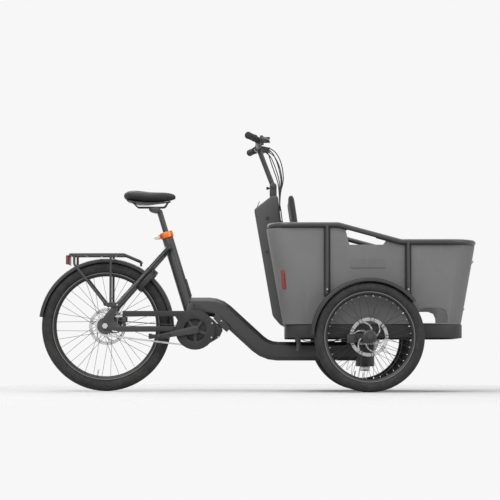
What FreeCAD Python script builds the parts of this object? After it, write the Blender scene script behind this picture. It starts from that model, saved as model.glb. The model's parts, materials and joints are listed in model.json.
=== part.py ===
import FreeCAD, Part
import math
import os

import Sketcher
from FreeCAD import Placement, Rotation, Vector

# Cargo tricycle: a box between two front wheels that steers as one unit about a kingpin,
# a cranked main tube, and one driven rear wheel. Millimetres, +X forward, +Z up, the near
# (drive) side at -Y. The origin is on the ground under the middle of the machine.
# Places called "ahead" are measured forward from the rear axle.

SIZES = dict(
    # stance
    rear_axle_back=721, wheelbase=1245, track=790, overrun=40, running_gap=0.08, seat_gap=0.3,
    # rear wheel
    rear_tyre_radius=311.5, rear_tyre_width=58, rear_rim_radius=257.5, rear_rim_depth=17.5,
    rear_rim_width=36,
    rear_axle_radius=6, rear_hub_left=58, rear_hub_right=34,
    # front wheels
    front_tyre_radius=253.5, front_tyre_width=50, front_rim_radius=208, front_rim_depth=16,
    front_rim_width=31,
    front_axle_radius=10, front_hub_inner=46, front_hub_outer=34,
    # hubs, spokes and brake rotors, alike on all wheels
    hub_flange_radius=31, hub_flange_half=31, hub_flange_thick=4, hub_barrel_radius=19, spoke_width=2,
    rotor_radius=90, rotor_band=16, rotor_thick=2, rotor_arm_width=9, rotor_carrier_radius=25,
    rotor_bore=15,
    # main frame
    crank_ahead=430, crank_height=292, seat_angle=17,
    tube_tall=90, tube_wide=60, tube_chamfer=18, tube_wall=3,
    tube_start_back=25, tube_upper_ahead=108, tube_upper_height=404, tube_upper_bend=110,
    tube_lower_ahead=340, tube_lower_height=191, tube_lower_bend=140,
    seat_tube_radius=27, seat_tube_foot=85, seat_tube_top=489,
    head_radius=45, head_bore=33, head_top=222, head_foot=118, bearing_tall=18,
    yoke_half=44, yoke_back=65, yoke_tall=32, yoke_drop=8, yoke_top=128, yoke_inset=52,
    cradle_half=46, guard_tab_half=12, guard_tab_thick=6,
    port_long=88, port_wide=26, port_thick=4, port_height=205,
    # stays and dropouts
    stay_front_half=38, stay_rear_half=71, seat_stay_half=66, stay_thick=12, stay_tall=25,
    chain_stay_height=298, stay_start=58,
    dropout_inside=64, dropout_thick=8, dropout_reach=64,
    seat_stay_radius=13, seat_stay_foot_ahead=8, seat_stay_foot_height=356, seat_stay_top_ahead=307,
    seat_stay_top_height=694, seat_stay_top_half=36, seat_stay_start=62, bridge_radius=7,
    tongue_width=22, guard_post_width=15,
    # motor, crank and drive
    motor_half=45, spindle_radius=12, crank_arm=170, crank_droop=10.6, arm_inside=68, arm_thick=14,
    arm_boss_radius=18, arm_tip_radius=11, pedal_axle_radius=6, pedal_axle_long=95,
    pedal_long=96, pedal_wide=86, pedal_tall=24, pedal_bar=13, pedal_core_radius=11, pedal_gap=4,
    chain_line=52, chain_pitch=12.7, plate_tall=8.4, plate_thick=1.0, plate_inside=1.9, roller_radius=3.8,
    plate_step=0.1, ring_thick=2.5, spider_width=14, spider_boss_radius=21, tooth_gap=0.45, tooth_rise=3.2,
    guard_inside=60, guard_thick=3, guard_radius=95, guard_hole=54.6, guard_boss_radius=4,
    guard_arm_low=356.8, guard_arm_high=383.5, guard_arm_back=348,
    # saddle and its post
    post_radius=13.6, post_foot=262, post_top=614, collar_radius=31.5, collar_tall=28, ear_long=14,
    ear_half=9,
    lever_long=24, lever_thick=8, lever_tall=14, lever_pin_radius=2, lever_gap=0.4, hose_bend=22,
    saddle_back=83, saddle_long=249, saddle_width=196, saddle_floor=902, saddle_crown=66,
    saddle_shell_thick=6, saddle_rail_radius=3.5, saddle_rail_half=21, saddle_rail_drop=17,
    saddle_head_long=36, saddle_head_half=27, saddle_head_tall=15,
    # mudguards
    guard_sheet=2.4, rear_guard_radius=326, rear_guard_half=33, rear_guard_skirt=19,
    rear_guard_begin=-2, rear_guard_end=172, front_guard_begin=38, front_guard_end=178,
    front_guard_radius=272, front_guard_half=30, front_guard_skirt=17,
    # carrier, rear light, lock
    carrier_height=654, carrier_half=77, carrier_radius=6, carrier_back=171, carrier_bend_ahead=88,
    carrier_nose_ahead=166, carrier_nose_drop=33, carrier_leg_back=149, carrier_leg_knee=607,
    carrier_leg_ahead=26, carrier_foot_height=418, carrier_bend=18, foot_plate_thick=4, carrier_slat=5,
    light_wide=76, light_tall=46, light_deep=16, light_plate=3,
    lock_along=250, lock_offset=-26.3, lock_radius=62, lock_wide=16, lock_thick=26, shackle_radius=5,
    lock_gap=36,
    # calipers and lines
    caliper_long=34, caliper_wide=30, caliper_tall=42, caliper_slot=6, caliper_reach=84, bracket_thick=5,
    hose_radius=2.5, cable_radius=2.2, cable_rear_ahead=48, cable_rear_height=338,
    cable_mid_ahead=91, cable_mid_height=333,
    # chassis under the box
    beam_half=20, beam_end=312, nut_radius=14, nut_thick=8, rail_half_gauge=180, rail_wide=30,
    chassis_margin=30, peg_ahead=-323, peg_half_gauge=268, peg_radius=10, peg_foot=190,
    kingpin_radius=15, kingpin_flange_radius=40, kingpin_nut_radius=24, kingpin_nut_tall=22,
    # box and tray
    tray_foot=251, tray_top=313.5, tray_wall=5, tray_inset=5, tray_rear_lip=30, box_wall=5,
    box_rear_foot=-394, box_front_foot=440, box_foot_half=322, box_tall=486, box_rear_lean=86,
    box_front_lean=88,
    box_side_lean=15, box_rear_corner=100, box_front_corner=130,
    rail_radius=12, rail_rear_height=774.5, rail_front_height=695, rail_half=340, rail_rear_ahead=-458,
    rail_front_ahead=498, rail_drop_start=-141, rail_drop_end=151, rail_bend=60, rail_gap=1,
    grip_start=-106, grip_floor_start=-88, grip_floor_end=68, grip_end=82, grip_floor_height=682,
    arch_start=225, arch_end=367, arch_top=389, arch_corner=34,
    strut_radius=8, strut_rear_ahead=-192, strut_front_ahead=183, strut_foot=466, strut_out=8.8,
    strut_pad_thick=4, strut_pad_tall=34, strut_boss_radius=7,
    # column, battery, mast
    column_half=55, column_wall=4, column_shoulder_ahead=-533, column_shoulder_height=872,
    column_top_ahead=-448,
    column_top_height=938, column_front_ahead=-418, column_foot_ahead=-341, column_heel_ahead=-404,
    column_knee_ahead=-444, column_knee_height=361, column_gap=2,
    battery_deep=52, battery_half=46, battery_rise=69, battery_drop=72,
    mast_radius=13, mast_top_ahead=-438, mast_top_height=955, pivot_ahead=-441, pivot_height=986,
    pivot_barrel_radius=17, pivot_barrel_half=20, pivot_ear=7, pivot_pin_radius=5, pivot_gap=0.3,
    # bench
    board_rear=-323, board_front=-59, board_height=500, board_thick=15, board_half=322.4,
    seat_cushion_rear=-253, seat_cushion_half=296, seat_cushion_tall=52, cushion_pull=5,
    back_half=205, back_tall=424, back_thick=38, back_ahead=-309, back_lean=8.5,
    # lamps
    marker_wide=20, marker_tall=86, marker_deep=12, marker_height=521, marker_turn=51,
    lamp_drop=79, lamp_deep=27, lamp_wide=56, lamp_tall=24, reflector_height=389, reflector_tall=20,
    reflector_wide=48, reflector_deep=24,
    # handlebar
    bar_ahead=-512, bar_height=1172, bar_radius=11.1, riser_radius=12, bar_clamp_radius=19,
    bar_clamp_half=26,
    bar_flat_half=80, bar_knee_ahead=-505, bar_knee_half=155, bar_knee_height=1184, bar_elbow_ahead=-523,
    bar_elbow_half=215, bar_end_ahead=-557, bar_end_half=338, bar_end_height=1192, bar_bend=38,
    grip_radius=15.5, grip_long=112, perch_radius=16, perch_wide=22, perch_reach=52,
    lever_blade_long=118, lever_blade_tall=13, lever_blade_thick=7, blade_pin_radius=3.2, display_wide=62,
    display_tall=40, display_thick=14,
)

doc = FreeCAD.newDocument("cargo_tricycle")
sheet = doc.addObject("Spreadsheet::Sheet", "Sizes")
nodes = {}


class Size:
    """A number of the sheet, or one worked out from such numbers, with the expression that gives it."""

    def __init__(self, value, text):
        self.value = float(value)
        self.text = text

    def __float__(self):
        return self.value

    def __add__(self, other):
        return joined(self, "+", other, self.value + float(other))

    def __radd__(self, other):
        return joined(other, "+", self, float(other) + self.value)

    def __sub__(self, other):
        return joined(self, "-", other, self.value - float(other))

    def __rsub__(self, other):
        return joined(other, "-", self, float(other) - self.value)

    def __mul__(self, other):
        return joined(self, "*", other, self.value * float(other))

    def __rmul__(self, other):
        return joined(other, "*", self, float(other) * self.value)

    def __truediv__(self, other):
        return joined(self, "/", other, self.value / float(other))

    def __neg__(self):
        return Size(-self.value, f"(-{self.text})")


def words(part):
    return part.text if isinstance(part, Size) else repr(part)


def joined(left, sign, right, value):
    return Size(value, f"({words(left)} {sign} {words(right)})")


def sine(angle):
    return Size(math.sin(math.radians(float(angle))), f"sin({words(angle)})")


def cosine(angle):
    return Size(math.cos(math.radians(float(angle))), f"cos({words(angle)})")


def root(number):
    return Size(math.sqrt(float(number)), f"sqrt({words(number)})")


class Sheet:
    """The driving dimensions, each read by its name."""


S = Sheet()
for row, (size_name, size_value) in enumerate(SIZES.items(), start=1):
    sheet.set(f"A{row}", size_name)
    sheet.set(f"B{row}", str(size_value))
    sheet.setAlias(f"B{row}", size_name)
    setattr(S, size_name, Size(size_value, f"Sizes.{size_name}"))
doc.recompute()

BAR_SIDES = 8
SLIM_SIDES = 6
ROUTE_CHORDS = 3
WHEEL_SIDES = 36
FLANGE_SIDES = 18
HUB_SIDES = 12
CORD_SIDES = 5
TUBE_CHORDS = 3
SEAT_TUBE_SIDES = 16
HEAD_SIDES = 20
GRIP_SIDES = 12
BEARING_SIDES = 12
GUARD_SIDES = 28
GUARD_STEP = 9
LOCK_STEPS = 24
SHACKLE_STEPS = 8
SHACKLE_SIDES = 6

ACROSS = Rotation(Vector(1, 0, 0), -90)  # a standing shape laid along +Y
WHEEL = Rotation(Vector(1, 0, 0), 90)  # a standing shape laid along -Y, angles rising from +X to +Z

rear_x = -S.rear_axle_back
rear_z = S.rear_tyre_radius
front_x = rear_x + S.wheelbase
front_z = S.front_tyre_radius
crank_x = rear_x + S.crank_ahead
crank_z = S.crank_height


# Shared helpers

def point(*coordinates):
    return Vector(*[float(c) for c in coordinates])


def bind(thing, **sizes):
    for name, size in sizes.items():
        setattr(thing, name, float(size))
        if isinstance(size, Size):
            thing.setExpression(name, size.text)
    return thing


def put(thing, at, turn=None):
    thing.Placement = Placement(point(*at), turn or Rotation())
    for axis, size in zip("xyz", at):
        if isinstance(size, Size):
            thing.setExpression(f"Placement.Base.{axis}", size.text)
    return thing


def node(name, thing):
    thing.Label = name
    nodes[name] = thing
    return thing


def rod(name, radius, length, at, turn=None):
    return put(bind(doc.addObject("Part::Cylinder", name), Radius=radius, Height=length), at, turn)


def block(name, lengths, centre, turn=None):
    """A box about its centre; with a turn, the corner is worked out here."""
    thing = bind(doc.addObject("Part::Box", name), Length=lengths[0], Width=lengths[1], Height=lengths[2])
    if turn is None:
        return put(thing, [c - l / 2 for c, l in zip(centre, lengths)])
    corner = turn.multVec(point(*lengths) * -0.5)
    return put(thing, point(*centre) + corner, turn)


def prism(name, sides, radius, length, at, turn=ACROSS):
    thing = bind(doc.addObject("Part::Prism", name), Circumradius=radius, Height=length)
    thing.Polygon = sides
    return put(thing, at, turn)


def hex_nut(name, radius, length, at, turn=None):
    return prism(name, 6, radius, length, at, turn)


def bar(name, radius, length, at, turn=None):
    """A rod with flats round it, where nothing turns on it."""
    return prism(name, BAR_SIDES, radius, length, at, turn)


def drum(name, sides, rings, at, phase=0):
    """A flat-sided drum across the machine, through rings of (radius, place along)."""
    x, y, z = at
    turn = ACROSS.multiply(Rotation(Vector(0, 0, 1), phase))
    sections = []
    for number, (radius, along) in enumerate(rings):
        ring = bind(doc.addObject("Part::RegularPolygon", f"{name}_ring_{number}"), Circumradius=radius)
        ring.Polygon = sides
        sections.append(put(ring, (x, y + along, z), turn))
    thing = doc.addObject("Part::Loft", name)
    thing.Sections = sections
    thing.Solid = True
    thing.Ruled = True
    return thing


def fused(name, *things):
    thing = doc.addObject("Part::MultiFuse", name)
    thing.Shapes = list(things)
    thing.Refine = True
    return thing


def cut(name, base, *tools):
    for number, tool in enumerate(tools):
        thing = doc.addObject("Part::Cut", name if number == len(tools) - 1 else f"{name}_cut_{number}")
        thing.Base = base
        thing.Tool = tool
        base = thing
    return base


def mirrored(thing):
    copy = doc.addObject("Part::Mirroring", f"{thing.Name}_left")
    copy.Source = thing
    copy.Normal = Vector(0, 1, 0)
    return copy


def group(name, *things):
    thing = doc.addObject("Part::Compound", name)
    thing.Links = list(things)
    return thing


def pair(name, thing):
    return group(name, thing, mirrored(thing))


def formed(name, shape):
    thing = doc.addObject("Part::Feature", name)
    thing.Shape = shape
    return thing


def body(name, at=(0, 0, 0), turn=None):
    return put(doc.addObject("PartDesign::Body", name), at, turn)


def sketch(owner, plane, name):
    drawing = owner.newObject("Sketcher::SketchObject", f"{owner.Name}_{name}")
    drawing.AttachmentSupport = ([f for f in owner.Origin.OriginFeatures if f.Role == plane][0], [""])
    drawing.MapMode = "FlatFace"
    return drawing


def hold(drawing, kind, geometry, end, size):
    """Ties a point of the drawing to the origin, or a circle to its radius."""
    if kind == "Radius":
        number = drawing.addConstraint(Sketcher.Constraint(kind, geometry, float(size)))
    else:
        number = drawing.addConstraint(Sketcher.Constraint(kind, -1, 1, geometry, end, float(size)))
    if isinstance(size, Size):
        drawing.setExpression(f"Constraints[{number}]", size.text)


def polygon(drawing, points):
    flat = [point(x, y, 0) for x, y in points]
    first = drawing.GeometryCount
    count = len(points)
    for start, stop in zip(flat, flat[1:] + flat[:1]):
        drawing.addGeometry(Part.LineSegment(start, stop))
    for number in range(count):
        drawing.addConstraint(Sketcher.Constraint("Coincident", first + number, 2,
                                                  first + (number + 1) % count, 1))
    for number, (x, y) in enumerate(points):
        hold(drawing, "DistanceX", first + number, 1, x)
        hold(drawing, "DistanceY", first + number, 1, y)


def circle(drawing, centre, radius):
    number = drawing.addGeometry(Part.Circle(point(*centre, 0), Vector(0, 0, 1), float(radius)))
    hold(drawing, "DistanceX", number, 3, centre[0])
    hold(drawing, "DistanceY", number, 3, centre[1])
    hold(drawing, "Radius", number, 3, radius)


def pad(owner, drawing, length, middle=True):
    feature = owner.newObject("PartDesign::Pad", f"{drawing.Name}_pad")
    feature.Profile = drawing
    feature.Midplane = middle
    return bind(feature, Length=length)


def pocket(owner, drawing, length):
    feature = owner.newObject("PartDesign::Pocket", f"{drawing.Name}_pocket")
    feature.Profile = drawing
    feature.Midplane = True
    return bind(feature, Length=length)


def around(owner, drawing, feature, count):
    """Repeats a feature about the axis through the drawing's origin."""
    pattern = owner.newObject("PartDesign::PolarPattern", f"{feature.Name}_ring")
    pattern.Originals = [feature]
    pattern.Axis = (drawing, ["N_Axis"])
    pattern.Angle = 360
    pattern.Occurrences = count
    owner.Tip = pattern
    return pattern


def turned(name, points, at, turn=None, angle=360):
    """A profile of (radius, along) points turned about the body's upright axis."""
    owner = body(name, at, turn)
    drawing = sketch(owner, "XZ_Plane", "profile")
    polygon(drawing, points)
    revolve(owner, drawing, angle)
    return owner


def revolve(owner, drawing, angle):
    feature = owner.newObject("PartDesign::Revolution", f"{owner.Name}_revolution")
    feature.Profile = drawing
    feature.ReferenceAxis = (drawing, ["V_Axis"])
    feature.Angle = float(angle)
    return feature


def plate(name, points, thick, at=(0, 0, 0), turn=None, holes=()):
    """A side-view outline in X and Z, as thick across as said, half each way from its place."""
    owner = body(name, at, turn)
    drawing = sketch(owner, "XZ_Plane", "outline")
    polygon(drawing, points)
    for centre, radius in holes:
        circle(drawing, centre, radius)
    pad(owner, drawing, thick)
    return owner


def bent_route(points, bend, chords=0):
    """Straight runs through the points with a tangent arc at each corner, or that arc in short chords."""
    places = [point(*p) for p in points]
    bends = bend if isinstance(bend, (list, tuple)) else [bend] * (len(places) - 2)
    edges = []
    start = places[0]
    for before, corner, after, size in zip(places, places[1:], places[2:], bends):
        inward = (before - corner).normalize()
        outward = (after - corner).normalize()
        half = inward.getAngle(outward) / 2
        reach = float(size) / math.tan(half)
        middle = (inward + outward).normalize()
        centre = corner + middle * (float(size) / math.sin(half))
        first, last = corner + inward * reach, corner + outward * reach
        arc = Part.Arc(first, centre - middle * float(size), last)
        edges.append(Part.LineSegment(start, first).toShape())
        if chords:
            spots = arc.discretize(chords + 1)
            edges += [Part.LineSegment(a, b).toShape() for a, b in zip(spots, spots[1:])]
        else:
            edges.append(arc.toShape())
        start = last
    edges.append(Part.LineSegment(start, places[-1]).toShape())
    return Part.Wire(edges)


def bent_rod(name, points, radius, bend, sides=BAR_SIDES, chords=ROUTE_CHORDS):
    """A bar or tube along a bent route, with as many flats round it and chords in a bend as said."""
    route = formed(f"{name}_route", bent_route(points, bend, chords))
    section = bind(doc.addObject("Part::RegularPolygon", f"{name}_section"), Circumradius=radius)
    section.Polygon = sides
    start, second = point(*points[0]), point(*points[1])
    section.Placement = Placement(start, Rotation(Vector(0, 0, 1), second - start))
    return swept(name, section, route, chords)


def cord(name, points, radius, bend):
    """A hose or cable: straight runs and true tangent arcs."""
    return bent_rod(name, points, radius, bend, CORD_SIDES, 0)


def swept(name, section, route, chords=0):
    thing = doc.addObject("Part::Sweep", name)
    thing.Sections = [section]
    thing.Spine = (route, [f"Edge{n + 1}" for n in range(len(route.Shape.Edges))])
    thing.Solid = True
    if chords:
        thing.Transition = "Right corner"
    return thing


def straight_rod(name, start, stop, radius):
    """A flat-sided rod between two places."""
    first, last = point(*start), point(*stop)
    thing = bind(doc.addObject("Part::Prism", name), Circumradius=radius)
    thing.Polygon = BAR_SIDES
    thing.Height = (last - first).Length
    thing.Placement = Placement(first, Rotation(Vector(0, 0, 1), last - first))
    return thing


def rounded_outline(rear, front, half, rear_corner, front_corner, height):
    """The points of a level outline with round corners, each corner in short steps."""
    steps = 6
    rear, front, half, height = [float(s) for s in (rear, front, half, height)]
    rear_corner, front_corner = float(rear_corner), float(front_corner)
    centres = [
        (front - front_corner, front_corner - half, front_corner, -90),
        (front - front_corner, half - front_corner, front_corner, 0),
        (rear + rear_corner, half - rear_corner, rear_corner, 90),
        (rear + rear_corner, rear_corner - half, rear_corner, 180),
    ]
    points = []
    for x, y, radius, begin in centres:
        for step in range(steps + 1):
            angle = math.radians(begin + 90 * step / steps)
            points.append(Vector(x + radius * math.cos(angle), y + radius * math.sin(angle), height))
    return points


def through(rings):
    """The solid through rings of points, with two flat triangles from each side to the next ring."""
    faces = [Part.Face(Part.makePolygon(ring + ring[:1])) for ring in (rings[0], rings[-1])]
    for low, high in zip(rings, rings[1:]):
        for a, b, c, d in zip(low, low[1:] + low[:1], high[1:] + high[:1], high):
            faces += [Part.Face(Part.makePolygon([a, b, c, a])), Part.Face(Part.makePolygon([a, c, d, a]))]
    return Part.Solid(Part.Shell(faces))


def swung(profile, begin, stop, steps):
    """A profile of (radius, along) points swung about the upright axis, with a flat at each step."""
    rings = []
    for step in range(steps + 1):
        angle = math.radians(begin + (stop - begin) * step / steps)
        rings.append([Vector(float(r) * math.cos(angle), float(r) * math.sin(angle), float(a)) for r,
                      a in profile])
    faces = [Part.Face(Part.makePolygon(ring + ring[:1])) for ring in (rings[0], rings[-1])]
    for low, high in zip(rings, rings[1:]):
        faces += [Part.Face(Part.makePolygon([a, b, c, d, a]))
                  for a, b, c, d in zip(low, low[1:] + low[:1], high[1:] + high[:1], high)]
    return Part.Solid(Part.Shell(faces))


def between(low, high):
    """The solid between two level outlines with the same number of points."""
    count = len(low)
    faces = [Part.Face(Part.makePolygon(low + low[:1])), Part.Face(Part.makePolygon(high + high[:1]))]
    for number in range(count):
        after = (number + 1) % count
        corners = [low[number], low[after], high[after], high[number], low[number]]
        faces.append(Part.Face(Part.makePolygon(corners)))
    return Part.Solid(Part.Shell(faces))


# Wheels

SPOKES = 36
REAR_SPOKE_START, FRONT_SPOKE_START = 5.1, 5  # degrees round the rim to the first spoke


def wheel(prefix, x, y, z, inner_side, tyre_radius, tyre_width, rim_radius, rim_depth, rim_width,
          axle_radius, rotor_end, plain_end, spokes, phase):
    """Tyre, rim, spoked hub and brake rotor; inner_side is +1 where the rotor lies towards +Y."""
    at = (x, y, z)
    half = tyre_width / 2
    tyre_foot = rim_radius + S.running_gap
    half_flat = 180 / WHEEL_SIDES
    flat = cosine(half_flat)
    tread_share, shoulder_share = 0.42, 0.6
    shoulder = tyre_foot + (tyre_radius - tyre_foot) * shoulder_share
    tread = half * tread_share
    outside = drum(f"{prefix}_tyre_outside", WHEEL_SIDES, [
        (shoulder / flat, -half), (tyre_radius / flat, -tread), (tyre_radius / flat, tread),
        (shoulder / flat, half),
    ], at, half_flat)
    inside = drum(f"{prefix}_tyre_inside", WHEEL_SIDES,
                  [(tyre_foot / flat, -half), (tyre_foot / flat, half)], at, half_flat)
    node(f"{prefix}_tyre", cut(f"{prefix}_tyre", outside, inside))

    waist_share, lip_share = 0.3, 0.15
    edge, waist = rim_width / 2, rim_width * waist_share
    lip, floor = rim_radius - rim_depth * lip_share, rim_radius - rim_depth
    outside = drum(f"{prefix}_rim_outside", WHEEL_SIDES,
                   [(rim_radius / flat, -edge), (rim_radius / flat, edge)], at,
                   half_flat)
    inside = drum(f"{prefix}_rim_inside", WHEEL_SIDES, [
        (lip / flat, -edge), (floor / flat, -waist), (floor / flat, waist), (lip / flat, edge),
    ], at, half_flat)
    node(f"{prefix}_rim", cut(f"{prefix}_rim", outside, inside))

    bore = axle_radius + S.running_gap
    flange, inset = S.hub_flange_half, S.hub_flange_half - S.hub_flange_thick
    ends = (plain_end, rotor_end) if inner_side > 0 else (rotor_end, plain_end)
    long = plain_end + rotor_end
    barrel = prism(f"{prefix}_hub_barrel", HUB_SIDES, S.hub_barrel_radius, long, (x, y - ends[0], z))
    flanges = [prism(f"{prefix}_hub_flange_{n}", FLANGE_SIDES, S.hub_flange_radius, S.hub_flange_thick,
                     (x, y + along, z))
               for n, along in enumerate((-flange, inset))]
    hole = rod(f"{prefix}_hub_bore", bore, long + S.overrun * 2, (x, y - ends[0] - S.overrun, z), ACROSS)
    shell = cut(f"{prefix}_hub_shell", fused(f"{prefix}_hub_solid", barrel, *flanges), hole)
    laced = formed(f"{prefix}_spokes", lacing(spokes, phase, rim_radius - rim_depth, at))
    node(f"{prefix}_hub", group(f"{prefix}_hub", shell, laced))
    rotor(f"{prefix}_rotor", (x, y + (rotor_end + S.rotor_thick / 2) * inner_side, z))


def lacing(spokes, phase, rim_floor, at):
    """Crossed spokes from both flanges to the rim, each a slim three-sided bar."""
    cross_turn = 48
    root_radius = float(S.hub_flange_radius + S.seat_gap * 4)
    tip_radius = float(rim_floor - S.seat_gap)
    side = float(S.hub_flange_half - S.hub_flange_thick / 2)
    width = float(S.spoke_width)
    bars = []
    for number in range(spokes):
        angle = math.radians(phase + number * 360 / spokes)
        lean = math.radians(cross_turn) * (1 if number // 2 % 2 else -1)
        offset = side if number % 2 else -side
        start = Vector(root_radius * math.cos(angle + lean), offset, root_radius * math.sin(angle + lean))
        stop = Vector(tip_radius * math.cos(angle), 0, tip_radius * math.sin(angle))
        turn = Rotation(Vector(0, 0, 1), stop - start)
        corners = [Vector(width * math.cos(a), width * math.sin(a), 0) / math.sqrt(3)
                   for a in (math.radians(120 * n) for n in range(4))]
        bar = Part.Face(Part.makePolygon(corners)).extrude(Vector(0, 0, (stop - start).Length))
        bar.Placement = Placement(start + point(*at), turn)
        bars.append(bar)
    return Part.makeCompound(bars)


def rotor(name, at):
    """Brake rotor: a friction band on six swept arms round a bolted carrier."""
    arm_count, flat_count = 6, 28
    x, y, z = at
    base = (x, y - S.rotor_thick / 2, z)
    band = cut(f"{name}_band", prism(f"{name}_edge", flat_count, S.rotor_radius, S.rotor_thick, base),
               prism(f"{name}_window", flat_count, S.rotor_radius - S.rotor_band, S.rotor_thick, base))
    middle = prism(f"{name}_carrier", flat_count // 2, S.rotor_carrier_radius, S.rotor_thick, base)
    bore = prism(f"{name}_bore", flat_count // 2, S.rotor_bore, S.rotor_thick, base)
    foot, tip = S.rotor_carrier_radius - S.rotor_arm_width, S.rotor_radius - S.rotor_band
    reach = root(tip * tip - foot * foot) + S.rotor_thick
    spread = []
    for number in range(arm_count):
        turn = Rotation(Vector(0, 1, 0), 360 / arm_count * number)
        away = turn.multVec(point(reach / 2, 0, foot))
        spread.append(block(f"{name}_arm_{number}", (reach, S.rotor_thick, S.rotor_arm_width),
                            point(*at) + away, turn))
    node(name, cut(name, fused(f"{name}_whole", band, middle, *spread), bore))


# Rear frame

def seat_place():
    return (crank_x, 0, crank_z), Rotation(Vector(0, 1, 0), -float(S.seat_angle))


def up_seat_tube(along):
    return crank_x - along * sine(S.seat_angle), 0, crank_z + along * cosine(S.seat_angle)


def tube_section(name, tall, wide, chamfer, at):
    drawing = doc.addObject("Sketcher::SketchObject", name)
    drawing.Placement = Placement(point(*at), Rotation(Vector(1, 1, 1), 120))
    high, side = tall / 2, wide / 2
    polygon(drawing, [
        (side - chamfer, -high), (side, chamfer - high), (side, high - chamfer), (side - chamfer, high),
        (chamfer - side, high), (-side, high - chamfer), (-side, chamfer - high), (chamfer - side, -high),
    ])
    return drawing


def main_frame():
    """The cranked main tube with the seat tube, motor cradle, rear yoke and head tube welded on."""
    start = (crank_x - S.tube_start_back, 0, S.tube_upper_height)
    points = [
        start,
        (crank_x + S.tube_upper_ahead, 0, S.tube_upper_height),
        (crank_x + S.tube_lower_ahead, 0, S.tube_lower_height),
        (front_x, 0, S.tube_lower_height),
    ]
    route = formed("main_tube_route",
                   bent_route(points, (S.tube_upper_bend, S.tube_lower_bend), TUBE_CHORDS))
    outer = tube_section("main_tube_outer", S.tube_tall, S.tube_wide, S.tube_chamfer, start)
    wall = S.tube_wall * 2
    inner = tube_section("main_tube_inner", S.tube_tall - wall, S.tube_wide - wall, S.tube_chamfer, start)
    tube = swept("main_tube", outer, route, TUBE_CHORDS)
    hollow = swept("main_tube_hollow", inner, route, TUBE_CHORDS)

    place, lean = seat_place()
    seat_tube = prism("seat_tube", SEAT_TUBE_SIDES, S.seat_tube_radius, S.seat_tube_top - S.seat_tube_foot,
                      (0, 0, S.seat_tube_foot), None)
    port = block("cable_port", (S.port_thick * 2, S.port_wide, S.port_long),
                 (S.seat_tube_radius, 0, S.port_height))
    upright = put(fused("seat_tube_and_port", seat_tube, port), place, lean)
    bore = rod("seat_bore", S.post_radius + S.running_gap, S.seat_tube_top,
               up_seat_tube(S.seat_tube_foot + S.tube_wall), lean)

    head = prism("head_tube", HEAD_SIDES, S.head_radius, S.head_top - S.head_foot,
                 (front_x, 0, S.head_foot), None)
    head_bore = rod("head_bore", S.head_bore, S.head_top, (front_x, 0, S.head_foot - S.overrun))

    back, inset = -S.yoke_back, -S.yoke_inset
    yoke = plate("rear_yoke", [
        (back, -S.yoke_drop), (back, S.yoke_tall - S.yoke_drop),
        (-S.tube_start_back - S.tube_chamfer / 2, S.yoke_top), (-S.tube_start_back / 3, S.yoke_top),
        (-S.tube_start_back / 3, tube_underside() + S.tube_wall), (inset, S.yoke_tall + S.guard_tab_thick),
        (inset, -S.yoke_drop),
    ], S.yoke_half * 2, (crank_x, 0, crank_z))
    reach = S.crank_ahead - S.yoke_back - S.rear_guard_radius - S.seat_gap
    tab = block("mudguard_tab", (reach + S.guard_tab_thick, S.guard_tab_half * 2, S.guard_tab_thick),
                (crank_x - S.yoke_back - (reach - S.guard_tab_thick) / 2, 0, crank_z + S.guard_tab_half))
    cradle = plate("motor_cradle", cradle_outline(), S.cradle_half * 2, (crank_x, 0, crank_z))
    flange_space = prism("flange_space", HEAD_SIDES, S.kingpin_flange_radius + S.tube_wall, S.overrun,
                         (front_x, 0, S.head_top), None)
    solid = fused("main_frame_solid", tube, upright, head, yoke, tab, cradle)
    node("main_frame", cut("main_frame", solid, hollow, bore, head_bore, flange_space))
    bearings()


def tube_underside():
    return S.tube_upper_height - S.tube_tall / 2 - crank_z


def cradle_outline():
    """The wedge between the motor's front face and the falling main tube, about the crank axis."""
    ahead, under = S.tube_upper_ahead, tube_underside()
    return [
        (ahead - S.tube_chamfer / 2, under + S.tube_chamfer), (ahead + S.tube_wide, under / 5),
        (ahead + S.motor_half - S.tube_wall, -S.tube_chamfer / 2),
        (ahead + S.spindle_radius * 2, S.tube_wall * 2),
        (ahead - S.spindle_radius * 2 + S.tube_wall, under - S.spindle_radius),
    ]


def bearings():
    """Upper and lower head bearings, pressed into the head tube, with flats that the kingpin runs between."""
    def ring(name, foot):
        at = (front_x, 0, foot)
        inner = (S.kingpin_radius + S.running_gap) / cosine(180 / BEARING_SIDES)
        outer = prism(f"{name}_race", BEARING_SIDES * 2, S.head_bore - S.running_gap, S.bearing_tall,
                      at, None)
        return cut(name, outer, prism(f"{name}_bore", BEARING_SIDES, inner, S.bearing_tall, at, None))
    upper = ring("upper_bearing", S.head_top - S.bearing_tall)
    lower = ring("lower_bearing", S.head_foot)
    node("steering_bearings", group("steering_bearings", upper, lower))


def seat_stay_line():
    foot = (rear_x + S.seat_stay_foot_ahead, S.seat_stay_foot_height, S.seat_stay_half)
    top = (rear_x + S.seat_stay_top_ahead, S.seat_stay_top_height, S.seat_stay_top_half)
    return foot, top


def on_seat_stay(along):
    """A place on the near seat stay's middle line, some way up from its foot."""
    foot, top = seat_stay_line()
    run, rise = top[0] - foot[0], top[1] - foot[1]
    share = along / root(run * run + rise * rise)
    return foot[0] + run * share, foot[1] + rise * share, foot[2] + (top[2] - foot[2]) * share


def tongue_corner(way):
    """A top corner of the dropout, square to the seat stay and just short of its foot."""
    foot, top = seat_stay_line()
    run, rise = top[0] - foot[0], top[1] - foot[1]
    length = root(run * run + rise * rise)
    x, z, _ = on_seat_stay(S.seat_stay_start - S.seat_gap)
    half = S.seat_stay_radius * way
    return x - rear_x + half * (rise / length), z - rear_z - half * (run / length)


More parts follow.
